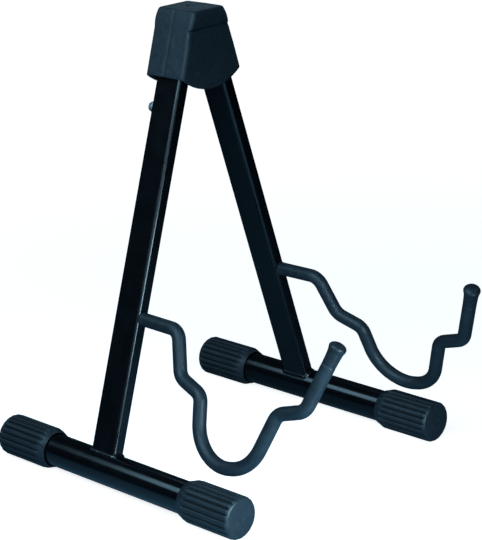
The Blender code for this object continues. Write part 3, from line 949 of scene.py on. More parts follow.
def hexagonal(flats: float, limit: float, height: float, steps: int = 72) -> list[Vector]:
    """A hexagon's ring with two flats facing along X.

    Args:
        flats: Its size across its flats.
        limit: The radius its corners are turned down to.
        height: The height it lies at.
        steps: Points round the ring.

    Returns:
        The ring.
    """
    ring = []
    for angle in (TURN * i / steps for i in range(steps)):
        off_flat = (angle + TURN / 12) % (TURN / 6) - TURN / 12
        radius = min(limit, flats / 2 / math.cos(off_flat))
        ring.append(Vector((radius * math.cos(angle), radius * math.sin(angle), height)))
    return ring


@dataclass
class HexScrew:
    """A hexagon screw with a fixed washer, the washer's underside at Z = 0."""

    radius: float = 1.5 * MM
    length: float = 9.7 * MM
    washer: Point = (4.3 * MM, 0.8 * MM)
    flats: float = 7.0 * MM
    height: float = 4.4 * MM
    chamfer: float = 0.45 * MM
    pitch: float = 0.9 * MM

    def shape(self) -> bmesh.types.BMesh:
        """The screw along Z with its shank below the washer.

        Returns:
            The shape.
        """
        reach, thick = self.washer
        root = self.radius - 0.25 * MM
        rounds: list[Point] = [(0.4 * root, -self.length), (root, -self.length + 0.6 * MM)]
        for i in reversed(range(int(self.length / self.pitch) - 1)):
            crest = -(i + 0.9) * self.pitch
            rounds += [(self.radius, crest), (root, crest + self.pitch * 0.5)]
        rounds += [(self.radius, 0.0), (reach - 0.15 * MM, 0.0), (reach, 0.15 * MM)]
        rounds += [(reach, thick - 0.2 * MM), (reach - 0.2 * MM, thick)]
        sections = [level(circle(radius, 72), height) for radius, height in rounds]
        corner = self.flats / math.sqrt(3)
        top = self.height
        sections.append(hexagonal(self.flats, corner, thick))
        sections.append(hexagonal(self.flats, corner, top - 1.4 * self.chamfer))
        sections.append(hexagonal(self.flats, corner - self.chamfer, top - 0.5 * self.chamfer))
        sections.append(level(circle(self.flats / 2 - 0.5 * self.chamfer, 72), top))
        sections.append(level(circle(self.flats / 2 - 2.2 * self.chamfer, 72), top))
        sections.append(level(circle(self.flats / 2 - 2.8 * self.chamfer, 72), top - 0.2 * MM))
        return loft(sections, Ends.CAPPED)


# --- The head: hood, bracket and what fastens them ------------------------------------------


@dataclass
class Hood:
    """The moulded hood: a small flat top, a bulging brow, a crease and a flared skirt."""

    wall: float = 2.0 * MM
    ceiling: float = 4.0 * MM
    top: Point = (16.4 * MM, 18.9 * MM)
    crease: Point = (21.6 * MM, 19.4 * MM)
    crease_drop: float = 14.0 * MM
    skirt: Point = (31.9 * MM, 19.5 * MM)
    skirt_drop: float = 48.0 * MM
    apron_sag: float = 11.6 * MM
    corner: float = 3.0 * MM
    brow: Point = (0.5 * MM, 0.9 * MM)
    crease_groove: float = 1.5 * MM
    back_grip: float = 0.6
    top_edge: float = 1.3 * MM
    side_crown: float = 0.55 * MM
    parting: Point = (0.45 * MM, 0.25 * MM)
    recess_radius: float = 3.5 * MM
    recess_depth: float = 2.4 * MM
    face_steps: int = 26
    corner_steps: int = 7

    def half_sizes(self, drop: float) -> Point:
        """Half the width and depth of the outside at a drop below the top.

        Args:
            drop: Distance below the top.

        Returns:
            Half the width and half the depth.
        """
        if drop < self.crease_drop:
            share = drop / self.crease_drop
            near, far, bulge = self.top, self.crease, math.sin(math.pi * share)
        else:
            share = (drop - self.crease_drop) / (self.skirt_drop - self.crease_drop)
            near, far, bulge = self.crease, self.skirt, 0.0
        width, depth = (a + (b - a) * share for a, b in zip(near, far))
        return width + self.brow[0] * bulge, depth + self.brow[1] * bulge

    def hem(self, x: float) -> float:
        """The drop of the hem at a distance from the middle: an arc front and back.

        Args:
            x: Distance from the middle.

        Returns:
            The drop.
        """
        half, sag = self.skirt[0], self.apron_sag
        radius = (half * half + sag * sag) / (2 * sag)
        return self.skirt_drop + sag - radius + math.sqrt(radius * radius - min(abs(x), half) ** 2)

    def half_ring(self, drop: float, inset: float, groove: float, grip: float) -> list[Point]:
        """Half the outline at one drop: the right-hand side and the face at the back.

        Args:
            drop: Distance below the top.
            inset: How far the outline is drawn in from the outside.
            groove: How far the face is drawn in on top of that.
            grip: How far round its corners, from 0 to 1, the groove starts.

        Returns:
            The half outline, counter-clockwise.
        """
        width, depth = self.half_sizes(drop)
        width, depth = width - inset, depth - inset
        corner = max(0.6 * MM, self.corner - inset / 2)
        flat_x, flat_y = width - corner - self.side_crown, depth - corner
        half_line, line_depth = self.parting
        line_depth *= 1 - eased(inset, 0.0, self.wall / 2)
        stops = [flat_y * share for share in (0.97, 0.8, 0.6, 0.4, 0.2)] + [half_line]
        side = [(width - self.side_crown * y / flat_y, y) for y in stops]
        half_side = [(x, -y) for x, y in side] + [(width - line_depth, 0.0)] + side[::-1]
        bend = arc((flat_x, flat_y), corner, 0.0, TURN / 4, self.corner_steps)
        start = flat_y + corner * grip
        bend = [(x, y - groove * eased(y, start, depth)) for x, y in bend]
        steps = self.face_steps
        face = [
            (flat_x * math.sin(TURN / 4 * (1 - 2 * i / steps)), depth - groove)
            for i in range(1, steps)
        ]
        return half_side + bend + face + [(-x, y) for x, y in reversed(bend)]

    def ring(self, drop: float, inset: float, groove: float = 0.0) -> list[Point]:
        """The outline at one drop, its crease softer at the back's corners than in front.

        Args:
            drop: Distance below the top.
            inset: How far the outline is drawn in.
            groove: How deep the groove is.

        Returns:
            The outline.
        """
        back = self.half_ring(drop, inset, groove, self.back_grip)
        front = self.half_ring(drop, inset, groove, 0.0)
        return back + [(-x, -y) for x, y in front]

    def station(self, drops: Sequence[float], inset: float, groove: float = 0.0) -> list[Vector]:
        """A ring of points, each at its own drop."""
        cache = {drop: self.ring(drop, inset, groove) for drop in set(drops)}
        return [Vector((*cache[drop][i], -drop)) for i, drop in enumerate(drops)]

    def shape(self) -> bmesh.types.BMesh:
        """The hood with its top at Z = 0.

        Returns:
            The shape.
        """
        outline = self.ring(0.0, 0.0)
        count = len(outline)
        width, depth = self.half_sizes(0.0)
        around = [math.atan2(y / depth, x / width) for x, y in outline]

        def disc(radius: float, drop: float) -> list[Vector]:
            """A round ring whose points face those of the outline."""
            return [Vector((radius * math.cos(a), radius * math.sin(a), -drop)) for a in around]

        radius, depth_in = self.recess_radius, self.recess_depth
        sections = [disc(radius - 0.4 * MM, depth_in), disc(radius, depth_in - 0.3 * MM)]
        sections += [disc(radius, 0.4 * MM), disc(radius + 0.12 * MM, 0.12 * MM)]
        sections.append(disc(radius + 0.4 * MM, 0.0))
        flat = [Vector((*point, 0.0)) for point in self.ring(0.0, self.top_edge)]
        sections += [
            [near.lerp(far, share) for near, far in zip(sections[-1], flat)]
            for share in (0.3, 0.65, 0.93)
        ]
        for i in range(7):
            angle = TURN / 4 * i / 6
            drop = self.top_edge * (1 - math.cos(angle))
            sections.append(self.station([drop] * count, self.top_edge * (1 - math.sin(angle))))
        for drop, groove in self.brow_stations():
            sections.append(self.station([drop] * count, 0.0, groove))
        hems = [self.hem(x) for x, _ in self.ring(self.skirt_drop, 0.0)]
        hems = [self.hem(self.ring(hem, 0.0)[i][0]) for i, hem in enumerate(hems)]
        lip = self.wall / 2
        start = self.crease_drop + 3.0 * MM
        for share in (i / 9 for i in range(10)):
            drops = [start + (hem - lip - start) * share for hem in hems]
            groove = self.crease_groove * 0.42 * (1 - eased(share, 0.0, 0.5))
            sections.append(self.station(drops, 0.0, groove))
        for i in range(1, 6):
            angle = math.pi * i / 6
            drops = [hem - lip + lip * math.sin(angle) for hem in hems]
            sections.append(self.station(drops, lip * (1 - math.cos(angle))))
        for share in (0.0, 0.35, 0.7):
            drops = [hem - lip + (self.crease_drop - hem + lip) * share for hem in hems]
            sections.append(self.station(drops, self.wall))
        for drop in (self.crease_drop, self.ceiling + 1.0 * MM):
            sections.append(self.station([drop] * count, self.wall))
        sections.append(self.station([self.ceiling] * count, self.wall + 1.0 * MM))
        return loft(sections, Ends.CAPPED)

    def brow_stations(self) -> list[Point]:
        """The drops from the top's edge past the crease, and how deep the crease is at each.

        Returns:
            Drops and depths.
        """
        brow = [(self.top_edge + i * 1.9 * MM, 0.0) for i in range(1, 6)]
        overhang = [(-1.9, 0.0), (-1.3, 0.10), (-0.8, 0.38), (-0.4, 0.78), (-0.1, 0.97)]
        recovery = [(0.3, 1.0), (0.8, 0.9), (1.5, 0.7), (2.3, 0.5)]
        crease = [
            (self.crease_drop + offset * MM, self.crease_groove * share)
            for offset, share in overhang + recovery
        ]
        return brow + crease

    def build(self, shop: Workshop) -> None:
        """Builds the hood in place.

        Args:
            shop: Makes and dresses the pieces.
        """
        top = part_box("hood")[1].z
        place = Matrix.Translation((0.0, HEAD_PLACE.translation.y, top))
        shop.piece("hood_shell", self.shape(), Slot.HOOD, HEAD_BODY, place, ["hood"])


@dataclass
class PanScrew:
    """A pan-head screw with a cross recess, its head's underside at Z = 0."""

    radius: float
    length: float
    head_radius: float
    head_height: float
    pitch: float = 0.7 * MM

    def shape(self) -> bmesh.types.BMesh:
        """The screw along Z with its shank below the head.

        Returns:
            The shape.
        """
        height, reach = self.head_height, self.head_radius
        crown = [
            (reach * math.sin(a), height * (0.35 + 0.65 * math.cos(a)))
            for a in (math.radians(7.5 * i) for i in range(1, 12))
        ]
        root = self.radius - 0.25 * MM
        turns = int(self.length / self.pitch) - 1
        thread: list[Point] = []
        for i in range(turns):
            crest = -(i + 0.75) * self.pitch
            thread += [(root, crest + self.pitch * 0.5), (self.radius, crest)]
        profile = [(0.0, height), *crown, (reach, 0.3 * height), (reach - 0.1 * MM, 0.0)]
        profile += [(self.radius, 0.0), *thread, (root, -self.length), (0.0, -self.length)]
        head = Matrix.Translation((0.0, 0.0, height + 0.02 * MM))
        slot = cross_slot(0.22 * reach, 1.15 * reach, 0.6 * height)
        return carved(turned(profile, 40), [(bar, head) for bar in slot])


@dataclass
class HingeBracket:
    """The folded steel bracket under the hood, its nut and the two pivot rivets."""

    plate: float = 1.5 * MM
    half_width: float = 15.4 * MM
    drop: float = 10.0 * MM
    bend: float = 2.4 * MM
    edge: float = 0.25 * MM
    rivet_radius: float = 2.0 * MM
    rivet_head: Point = (4.0 * MM, 1.3 * MM)
    hole_play: float = 0.3 * MM
    screw_radius: float = 2.0 * MM
    nut_flats: float = 7.0 * MM
    nut_height: float = 2.2 * MM

    def side(self, half: float, top: float, bend: float) -> list[Point]:
        """One skin of the folded section, from foot to foot.

        Args:
            half: Half its size.
            top: The height of its top.
            bend: The radius of its bends.

        Returns:
            The outline.
        """
        left = arc((-half + bend, top - bend), bend, math.pi, math.pi / 2, 8)
        right = arc((half - bend, top - bend), bend, math.pi / 2, 0.0, 8)
        return [(-half, -self.drop), *left, *right, (half, -self.drop)]

    def shape(self, half_depth: float, top: float) -> bmesh.types.BMesh:
        """The bracket with its pivots at Z = 0.

        Args:
            half_depth: Half its size along Y.
            top: The height of its web's upper face.

        Returns:
            The drilled bracket.
        """
        outer = self.side(half_depth, top, self.bend)
        inner = self.side(half_depth - self.plate, top - self.plate, self.bend - self.plate)
        outline = outer + inner[::-1]
        sides = (-self.half_width, self.half_width)
        ends = [[Vector((x, y, z)) for y, z in outline] for x in sides]
        folded = loft(ends, Ends.CAPPED)
        rim = [e for e in folded.edges if e.calc_length() < 2 * self.half_width - WELD]
        bmesh.ops.bevel(
            folded, geom=rim, offset=self.edge, segments=2, profile=0.5, affect="EDGES", material=-1
        )
        drill = self.rivet_radius + self.hole_play
        across = Matrix.Rotation(ALONG_Y, 4, "X")
        holes = [
            (straight_hole(drill, 4 * half_depth), Matrix.Translation((x, 0.0, 0.0)) @ across)
            for x in (STANCES[side].pivot.x for side in Side)
        ]
        screw = straight_hole(self.screw_radius + self.hole_play, 4 * self.plate)
        return carved(folded, [*holes, (screw, Matrix.Translation((0.0, 0.0, top)))])

    def rivet(self, half: float) -> bmesh.types.BMesh:
        """A domed rivet along Z, half its grip given.

        Args:
            half: Half its size.

        Returns:
            The rivet.
        """
        reach, rise = self.rivet_head
        dome = [
            (reach * math.sin(a), half + rise * math.cos(a))
            for a in (math.radians(10 * i) for i in range(10))
        ]
        dome[0] = (0.0, half + rise)
        upper = [*dome, (reach - 0.1 * MM, half), (self.rivet_radius, half)]
        return turned(upper + [(radius, -height) for radius, height in reversed(upper)], 48)

    def nut(self) -> bmesh.types.BMesh:
        """The thin hexagon nut along Z, centred, its corners chamfered.

        Returns:
            The nut.
        """
        half, flats = self.nut_height / 2, self.nut_flats
        bore, edge = circle(self.screw_radius + self.hole_play, 72), 0.4 * MM
        sections = [level(bore, -half), hexagonal(flats, flats / 2, -half)]
        sections += [hexagonal(flats, flats, edge - half), hexagonal(flats, flats, half - edge)]
        sections += [hexagonal(flats, flats / 2, half), level(bore, half)]
        return loft(sections, Ends.JOINED)

    def build(self, shop: Workshop) -> None:
        """Builds the bracket and its fasteners in place.

        Args:
            shop: Makes and dresses the pieces.
        """
        low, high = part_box("hinge_bracket")
        half_depth, top = (high.y - low.y) / 2, high.z - PIVOT_HEIGHT
        shape = self.shape(half_depth, top)
        shop.piece(
            "hinge_bracket_folded", shape, Slot.BRACKET, HEAD_BODY, HEAD_PLACE, ["hinge_bracket"]
        )
        across = Matrix.Rotation(ALONG_Y, 4, "X")
        for side, stance in STANCES.items():
            node = f"pivot_rivet_{side.word}"
            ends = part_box(node)
            grip = (ends[1].y - ends[0].y) / 2 - self.rivet_head[1]
            place = Matrix.Translation(stance.pivot) @ across
            shop.piece(f"{node}_domed", self.rivet(grip), Slot.RIVET, HEAD_BODY, place, [node])
        low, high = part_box("hood_nut")
        place = Matrix.Translation((low + high) / 2)
        shop.piece("hood_nut_hex", self.nut(), Slot.ZINC, HEAD_BODY, place, ["hood_nut"])
        low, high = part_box("hood_screw")
        height = 1.6 * MM
        screw = PanScrew(self.screw_radius, high.z - low.z - height, 2.9 * MM, height)
        place = Matrix.Translation((0.0, HEAD_PLACE.translation.y, high.z - height))
        shop.piece("hood_screw_cross", screw.shape(), Slot.BLACK, HEAD_BODY, place, ["hood_screw"])


# --- The legs -------------------------------------------------------------------------------


@dataclass
class LegTube:
    """A rectangular leg tube, coped onto its base tube and welded to it."""

    half_width: float = 5.5 * MM
    half_depth: float = 12.5 * MM
    wall: float = 1.5 * MM
    corner: float = 2.7 * MM
    head: float = 9.0 * MM
    base_radius: float = 12.5 * MM
    play: float = 0.3 * MM
    arm_hole: float = 4.1 * MM
    arm_height: float = 116.7 * MM
    screw_drop: float = 59.3 * MM
    screw_hole: float = 1.8 * MM
    pivot_hole: float = 2.3 * MM
    bead_half: Point = (2.2 * MM, 1.45 * MM)
    bead_pitch: float = 1.9 * MM
    bead_seed: float = 7.0

    def outline(self, inset: float) -> list[Point]:
        """The tube's outline, drawn in from its outside."""
        corner = max(self.corner - inset, 0.35 * MM)
        return rounded_rectangle(self.half_width - inset, self.half_depth - inset, corner)

    def coped(self, outline: Sequence[Point], reach: float, rise: float = 0.0) -> list[Vector]:
        """An outline dropped onto the base tube.

        Args:
            outline: The outline.
            reach: Distance from the pivot to the base tube's axis.
            rise: How far above the base tube it stops.

        Returns:
            The points, in the leg's frame.
        """
        radius = self.base_radius + rise
        return [Vector((x, y, math.sqrt(radius * radius - x * x) - reach)) for x, y in outline]

    def shape(self, reach: float, screwed: bool) -> bmesh.types.BMesh:
        """The drilled tube in the leg's frame.

        Args:
            reach: Distance from the pivot to the base tube's axis.
            screwed: Whether it has the hole for the insert's screw.

        Returns:
            The tube.
        """
        outer, inner = self.outline(0.0), self.outline(self.wall)
        edge = 0.3 * MM
        rise = 0.1 * MM
        sections = [
            self.coped(inner, reach, rise),
            self.coped(outer, reach, rise),
            self.coped(outer, reach, 3.0 * MM),
        ]
        foot = self.base_radius + 8.0 * MM - reach
        sections += [level(outer, foot + (self.head - edge - foot) * i / 12) for i in range(13)]
        sections.append(level(self.outline(0.3 * edge), self.head - 0.3 * edge))
        sections.append(level(self.outline(edge), self.head))
        sections.append(level(inner, self.head))
        tube = loft(sections, Ends.JOINED)
        across = Matrix.Rotation(ALONG_Y, 4, "X")
        front = Matrix.Translation((0.0, -self.half_depth, self.arm_height - reach)) @ across
        back = Matrix.Translation((0.0, self.half_depth, -self.screw_drop)) @ across
        cutters = [
            (straight_hole(self.pivot_hole, 4 * self.half_depth), across),
            (straight_hole(self.arm_hole, 2 * self.half_depth), front),
        ]
        if screwed:
            cutters.append((straight_hole(self.screw_hole, 2 * self.half_depth), back))
        return carved(tube, cutters)

    def bead(self, reach: float, seed: float) -> bmesh.types.BMesh:
        """The rippled weld bead round the tube's foot, in the leg's frame.

        Args:
            reach: Distance from the pivot to the base tube's axis.
            seed: Where in the noise the bead's unevenness is read.

        Returns:
            The bead.
        """
        rough = [Vector(point) for point in self.outline(0.0)]
        steps = 190
        lengths = [0.0]
        for here, there in zip(rough, rough[1:] + rough[:1]):
            lengths.append(lengths[-1] + (there - here).length)
        ring = rough + rough[:1]
        places = []
        for i in range(steps):
            goal = lengths[-1] * i / steps
            k = next(n for n in range(len(rough)) if lengths[n + 1] > goal)
            share = (goal - lengths[k]) / (lengths[k + 1] - lengths[k])
            places.append(ring[k].lerp(ring[k + 1], share))
        path = self.coped([(p.x, p.y) for p in places], reach)
        ripples = round(lengths[-1] / self.bead_pitch)
        sections = []
        for i, point in enumerate(path):
            along = (path[(i + 1) % steps] - path[i - 1]).normalized()
            up = Vector((point.x, 0.0, point.z + reach)).normalized()
            out = along.cross(Vector((0.0, 0.0, 1.0))).normalized()
            lift = (up + out).normalized()
            aside = lift.cross(along)
            swell = 0.5 + 0.5 * math.cos(TURN * ripples * i / steps)
            uneven = noise.noise(point * 380 + Vector((seed, 0.0, 0.0)))
            wide = self.bead_half[0] * (1.0 + 0.10 * uneven)
            tall = self.bead_half[1] * (0.86 + 0.2 * swell + 0.16 * uneven)
            sections.append([
                point + lift * tall * math.sin(a) + aside * wide * math.cos(a)
                for a in (TURN * k / 14 for k in range(14))
            ])
        return loft(sections, Ends.JOINED)

    def build(self, shop: Workshop, stance: Stance) -> None:
        """Builds one leg's tube, bead and screw in place.

        Args:
            shop: Makes and dresses the pieces.
            stance: Where the leg stands.
        """
        word, body, place = stance.side.word, stance.side.body, stance.leg()
        node = f"leg_tube_{word}"
        tube = self.shape(stance.reach, f"insert_screw_{word}" in frame["nodes"])
        shop.piece(f"{node}_coped", tube, Slot.LEG, body, place, [node])
        bead = self.bead(stance.reach, self.bead_seed * stance.side.value)
        shop.piece(f"weld_bead_{word}", bead, Slot.LEG, body, place)
        shop.dress(f"leg_insert_{word}", Slot.INSERT)
        node = f"insert_screw_{word}"
        if node not in frame["nodes"]:
            return
        seat = Matrix.Translation((0.0, self.half_depth + self.play, -self.screw_drop))
        turn = Matrix.Rotation(-ALONG_Y, 4, "X")
        screw = HexScrew().shape()
        shop.piece(f"{node}_hex", screw, Slot.ZINC, body, place @ seat @ turn, [node])


@dataclass
class BaseTube:
    """The round base tube with a ribbed rubber cap on each end."""

    radius: float = 12.5 * MM
    wall: float = 1.5 * MM
    cap_radius: float = 16.07 * MM
    cap_length: float = 52.5 * MM
    end_wall: float = 3.2 * MM
    collar: float = 6.5 * MM
    collar_wall: float = 1.1 * MM
    flare: Point = (0.75 * MM, 3.5 * MM)
    play: float = 0.3 * MM
    rim: float = 3.0 * MM
    dome: float = 0.8 * MM
    ribs: int = 20
    rib_points: int = 12
    groove: float = 1.25 * MM
    groove_start: Point = (1.0 * MM, 4.6 * MM)
    valley_span: Point = (0.20, 0.5)
    valley_power: float = 1.3
    crown_fall: float = 0.12

    def tube(self, half: float) -> bmesh.types.BMesh:
        """The tube along Z, centred.

        Args:
            half: Half its length.

        Returns:
            The open tube with softened ends.
        """
        inner, edge = self.radius - self.wall, 0.3 * MM
        upper = [(inner, half - edge), (inner + edge, half), (self.radius - edge, half)]
        upper.append((self.radius, half - edge))
        lower = [(radius, -height) for radius, height in reversed(upper)]
        return turned(upper + lower, 128)

    def ribbed(self, radius: float, groove: float, height: float) -> list[Vector]:
        """A ribbed ring: round crowns with narrow valleys between them.

        Args:
            radius: Its radius.
            groove: How deep the groove is.
            height: The height.

        Returns:
            The ring.
        """
        ring = []
        count = self.ribs * self.rib_points
        for i in range(count):
            place = (i / self.rib_points + 0.5) % 1 - 0.5
            valley = eased(abs(place), *self.valley_span) ** self.valley_power
            crown = self.crown_fall * (2 * place) ** 2
            reach = radius - groove * min(1.0, valley + crown)
            angle = TURN * i / count
            ring.append(Vector((reach * math.cos(angle), reach * math.sin(angle), height)))
        return ring

    def cap(self) -> bmesh.types.BMesh:
        """The cap along Z: its closed end at Z = 0, its mouth at its length.

        Returns:
            The cap.
        """
        outer, rim = self.cap_radius, self.rim
        face = outer - rim
        stations = [(0.9 * MM, 0.22 * MM), (1.25 * MM, 0.16 * MM), (1.5 * MM, 0.0)]
        stations += [(face * s, self.dome * s * s) for s in (0.3, 0.5, 0.7, 0.85, 1.0)]
        centre = (face, rim + self.dome)
        stations += arc(centre, rim, -TURN / 4, 0.0, 10)[1:]
        body_end = self.cap_length - self.collar
        start, full = self.groove_start
        sections = [
            self.ribbed(radius, self.groove * eased(height, start, full), height)
            for radius, height in stations
        ]
        heights = [rim + self.dome + 0.3 * MM * i for i in range(1, 6)]
        first, last = heights[-1], body_end - 1.5 * MM
        heights += [first + (last - first) * i / 10 for i in range(1, 11)]
        for height in heights:
            sections.append(self.ribbed(outer, self.groove * eased(height, start, full), height))
        mouth = self.radius + self.play + self.collar_wall
        for share in (0.0, 0.06, 0.14, 0.25, 0.4, 0.6, 0.8, 0.93):
            radius = outer + (mouth - outer) * eased(share, -0.12, 1.05)
            groove = self.groove * (1 - eased(share, 0.0, 0.5))
            sections.append(self.ribbed(radius, groove, body_end + self.collar * share))
        bore = self.radius + self.play
        wide, deep = self.flare
        lip = (self.collar_wall - wide) / 2
        for angle in (0.0, 30.0, 60.0, 90.0, 120.0, 150.0, 180.0):
            radius = bore + wide + lip + lip * math.cos(math.radians(angle))
            height = self.cap_length - lip + lip * math.sin(math.radians(angle))
            sections.append(self.ribbed(radius, 0.0, height))
        sections.append(self.ribbed(bore, 0.0, self.cap_length - deep))
        sections.append(self.ribbed(bore, 0.0, self.end_wall))
        return loft(sections, Ends.CAPPED)

    def build(self, shop: Workshop, stance: Stance) -> None:
        """Builds one base tube and its caps in place.

        Args:
            shop: Makes and dresses the pieces.
            stance: Where the leg stands.
        """
        word, body = stance.side.word, stance.side.body
        node = f"base_tube_{word}"
        low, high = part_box(node)
        place = Matrix.Translation((low + high) / 2) @ Matrix.Rotation(ALONG_Y, 4, "X")
        tube = self.tube((high.y - low.y) / 2)
        shop.piece(f"{node}_round", tube, Slot.BASE, body, place, [node])
        for end, turn in (("front", -ALONG_Y), ("rear", ALONG_Y)):
            node = f"{end}_end_cap_{word}"
            low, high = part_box(node)
            middle = (low + high) / 2
            middle.y = low.y if end == "front" else high.y
            place = Matrix.Translation(middle) @ Matrix.Rotation(turn, 4, "X")
            cap = self.cap()
            shop.piece(f"{node}_ribbed", cap, Slot.CAP, body, place, [node], math.radians(60))


# --- The arms -------------------------------------------------------------------------------


@dataclass
class Arm:
    """A bent arm: a steel rod in a soft sleeve, with a flared cap on its tip."""

    half_leg_depth: float = 12.5 * MM
    toe_out: float = math.radians(1.7)
    root_height: float = 116.7 * MM
    bends: list[tuple[float, float, float]] = field(
        default_factory=lambda: [
            (38.4 * MM, 116.4 * MM, 10.0 * MM),
            (48.8 * MM, 84.0 * MM, 11.0 * MM),
            (71.8 * MM, 75.8 * MM, 9.0 * MM),
            (81.0 * MM, 25.5 * MM, 31.0 * MM),
            (131.0 * MM, 36.0 * MM, 31.0 * MM),
            (147.2 * MM, 80.2 * MM, 11.0 * MM),
            (171.2 * MM, 87.8 * MM, 12.0 * MM),
        ]
    )
    tip: Point = (190.5 * MM, 140.0 * MM)
    sleeve_radius: float = 5.2 * MM
    sleeve_wall: float = 1.3 * MM
    gap: float = 0.3 * MM
    crease_depth: float = 0.13 * MM
    crease_pitch: float = 1.7 * MM
    tip_radius: float = 6.45 * MM
    tip_length: float = 17.0 * MM
    tip_end_wall: float = 5.0 * MM
    tip_dome: float = 3.6 * MM
    spacing: float = 0.8 * MM
    around: int = 36

    def centre_line(self) -> list[Vector]:
        """Evenly spaced points along the sleeve, as (forward, up).

        Returns:
            The points.
        """
        first = self.bends[0]
        slope = (first[1] - self.root_height) / first[0]
        start = (self.gap, self.root_height + slope * self.gap)
        path = bent_path(start, self.bends, self.tip, math.radians(2.5))
        back = (path[-2] - path[-1]).normalized()
        path[-1] = path[-1] + back * (self.tip_length + self.gap)
        lengths = [0.0]
        for here, there in zip(path, path[1:]):
            lengths.append(lengths[-1] + (there - here).length)
        steps = round(lengths[-1] / self.spacing)
        points = []
        k = 0
        for i in range(steps + 1):
            goal = min(lengths[-1] * i / steps, lengths[-1] - 1e-9)
            while lengths[k + 1] < goal:
                k += 1
            share = (goal - lengths[k]) / (lengths[k + 1] - lengths[k])
            points.append(path[k].lerp(path[k + 1], share))
        return points

    def sleeve(self) -> bmesh.types.BMesh:
        """The sleeve in the arm's frame, creased a little inside its tighter bends.

        Returns:
            The sleeve.
        """
        path = self.centre_line()
        last = len(path) - 1
        outer, skins = [], []
        along = 0.0
        tangents = [
            (path[min(i + 1, last)] - path[max(i - 1, 0)]).normalized() for i in range(last + 1)
        ]
        for i, (point, tangent) in enumerate(zip(path, tangents)):
            along += (point - path[i - 1]).length if i else 0.0
            left = max(i - 3, 0)
            right = min(i + 3, last)
            turn = tangents[left].angle_signed(tangents[right]) / ((right - left) * self.spacing)
            flare = 0.35 * MM * math.exp(-along / (1.5 * MM))
            radius = self.sleeve_radius + flare
            normal = Vector((0.0, -tangent.y, -tangent.x))
            ring, skin = [], []
            for k in range(self.around):
                angle = TURN * k / self.around
                inside = max(0.0, math.copysign(1.0, turn) * math.cos(angle))
                crease = min(1.0, abs(turn) * 0.011) * inside ** 2
                wave = 0.5 + 0.5 * math.cos(TURN * along / self.crease_pitch)
                reach = radius - self.crease_depth * crease * wave
                offset = normal * reach * math.cos(angle) + Vector((reach * math.sin(angle), 0, 0))
                ring.append(Vector((0.0, -point.x, point.y)) + offset)
                skin.append(Vector((reach * math.cos(angle), reach * math.sin(angle), along)))
            outer.append(ring)
            skins.append(skin)
        sections, places = self.lipped(outer, skins)
        return loft(sections, Ends.JOINED, places)

    def lipped(
        self, rings: list[list[Vector]], skins: list[list[Vector]]
    ) -> tuple[list[list[Vector]], list[list[Vector]]]:
        """Rounds the sleeve's two ends and adds its bore.

        Args:
            rings: The outside's rings, from root to tip.
            skins: Their places before bending.

        Returns:
            Every ring of the hollow sleeve and their places before bending.
        """
        share = 1 - self.sleeve_wall / self.sleeve_radius
        soft = 0.06

        def drawn(ring: list[Vector], amount: float) -> list[Vector]:
            """A ring scaled about its own middle."""
            middle = sum(ring, Vector()) / len(ring)
            return [middle.lerp(point, amount) for point in ring]

        def closed(rows: list[list[Vector]]) -> list[list[Vector]]:
            """The rows with their end lips and the bore added.

            Args:
                rows: Rings from end to end.

            Returns:
                The closed rows.
            """
            bore = [drawn(row, share) for row in rows[::-1][::4] + [rows[0]]]
            body = [drawn(rows[0], 1 - soft)] + rows[1:-1] + [drawn(rows[-1], 1 - soft)]
            return body + bore

        return closed(rings), closed(skins)

    def tip_cap(self) -> bmesh.types.BMesh:
        """The tip cap along Z: its domed end at Z = 0, its mouth below.

        Returns:
            The cap.
        """
        reach, rise, length = self.tip_radius, self.tip_dome, self.tip_length
        bore = self.sleeve_radius - self.sleeve_wall
        dome = [
            (reach * math.sin(a), rise * (math.cos(a) - 1))
            for a in (math.radians(7.5 * i) for i in range(12))
        ]
        neck = [
            (reach, -rise),
            (reach - 0.25 * MM, -rise - 1.5 * MM),
            (reach - 0.75 * MM, -rise - 3.0 * MM),
            (self.sleeve_radius + 0.2 * MM, -10.5 * MM),
            (self.sleeve_radius, -length),
        ]
        inside = [(bore, -length), (bore, -self.tip_end_wall), (0.0, -self.tip_end_wall)]
        outside = softened([dome[-1], *neck], 0.8 * MM, 5)
        return turned([*dome[:-1], *outside, *inside], 48)

    def build(self, shop: Workshop, stance: Stance) -> None:
        """Builds one arm in place.

        Args:
            shop: Makes and dresses the pieces.
            stance: Where the leg stands.
        """
        word, body = stance.side.word, stance.side.body
        place = stance.arm(self.half_leg_depth, self.toe_out)
        node = f"arm_sleeve_{word}"
        crisp = math.radians(60)
        shop.piece(f"{node}_soft", self.sleeve(), Slot.SLEEVE, body, place, [node], crisp)
        tip = Vector((0.0, -self.tip[0], self.tip[1]))
        before = Vector((0.0, -self.bends[-1][0], self.bends[-1][1]))
        turn = (tip - before).to_track_quat("Z", "Y").to_matrix().to_4x4()
        node = f"arm_tip_cap_{word}"
        seat = place @ Matrix.Translation(tip) @ turn
        shop.piece(f"{node}_flared", self.tip_cap(), Slot.TIP, body, seat, [node], crisp)
        shop.dress(f"arm_rod_{word}", Slot.ROD)


# --- The studio -----------------------------------------------------------------------------


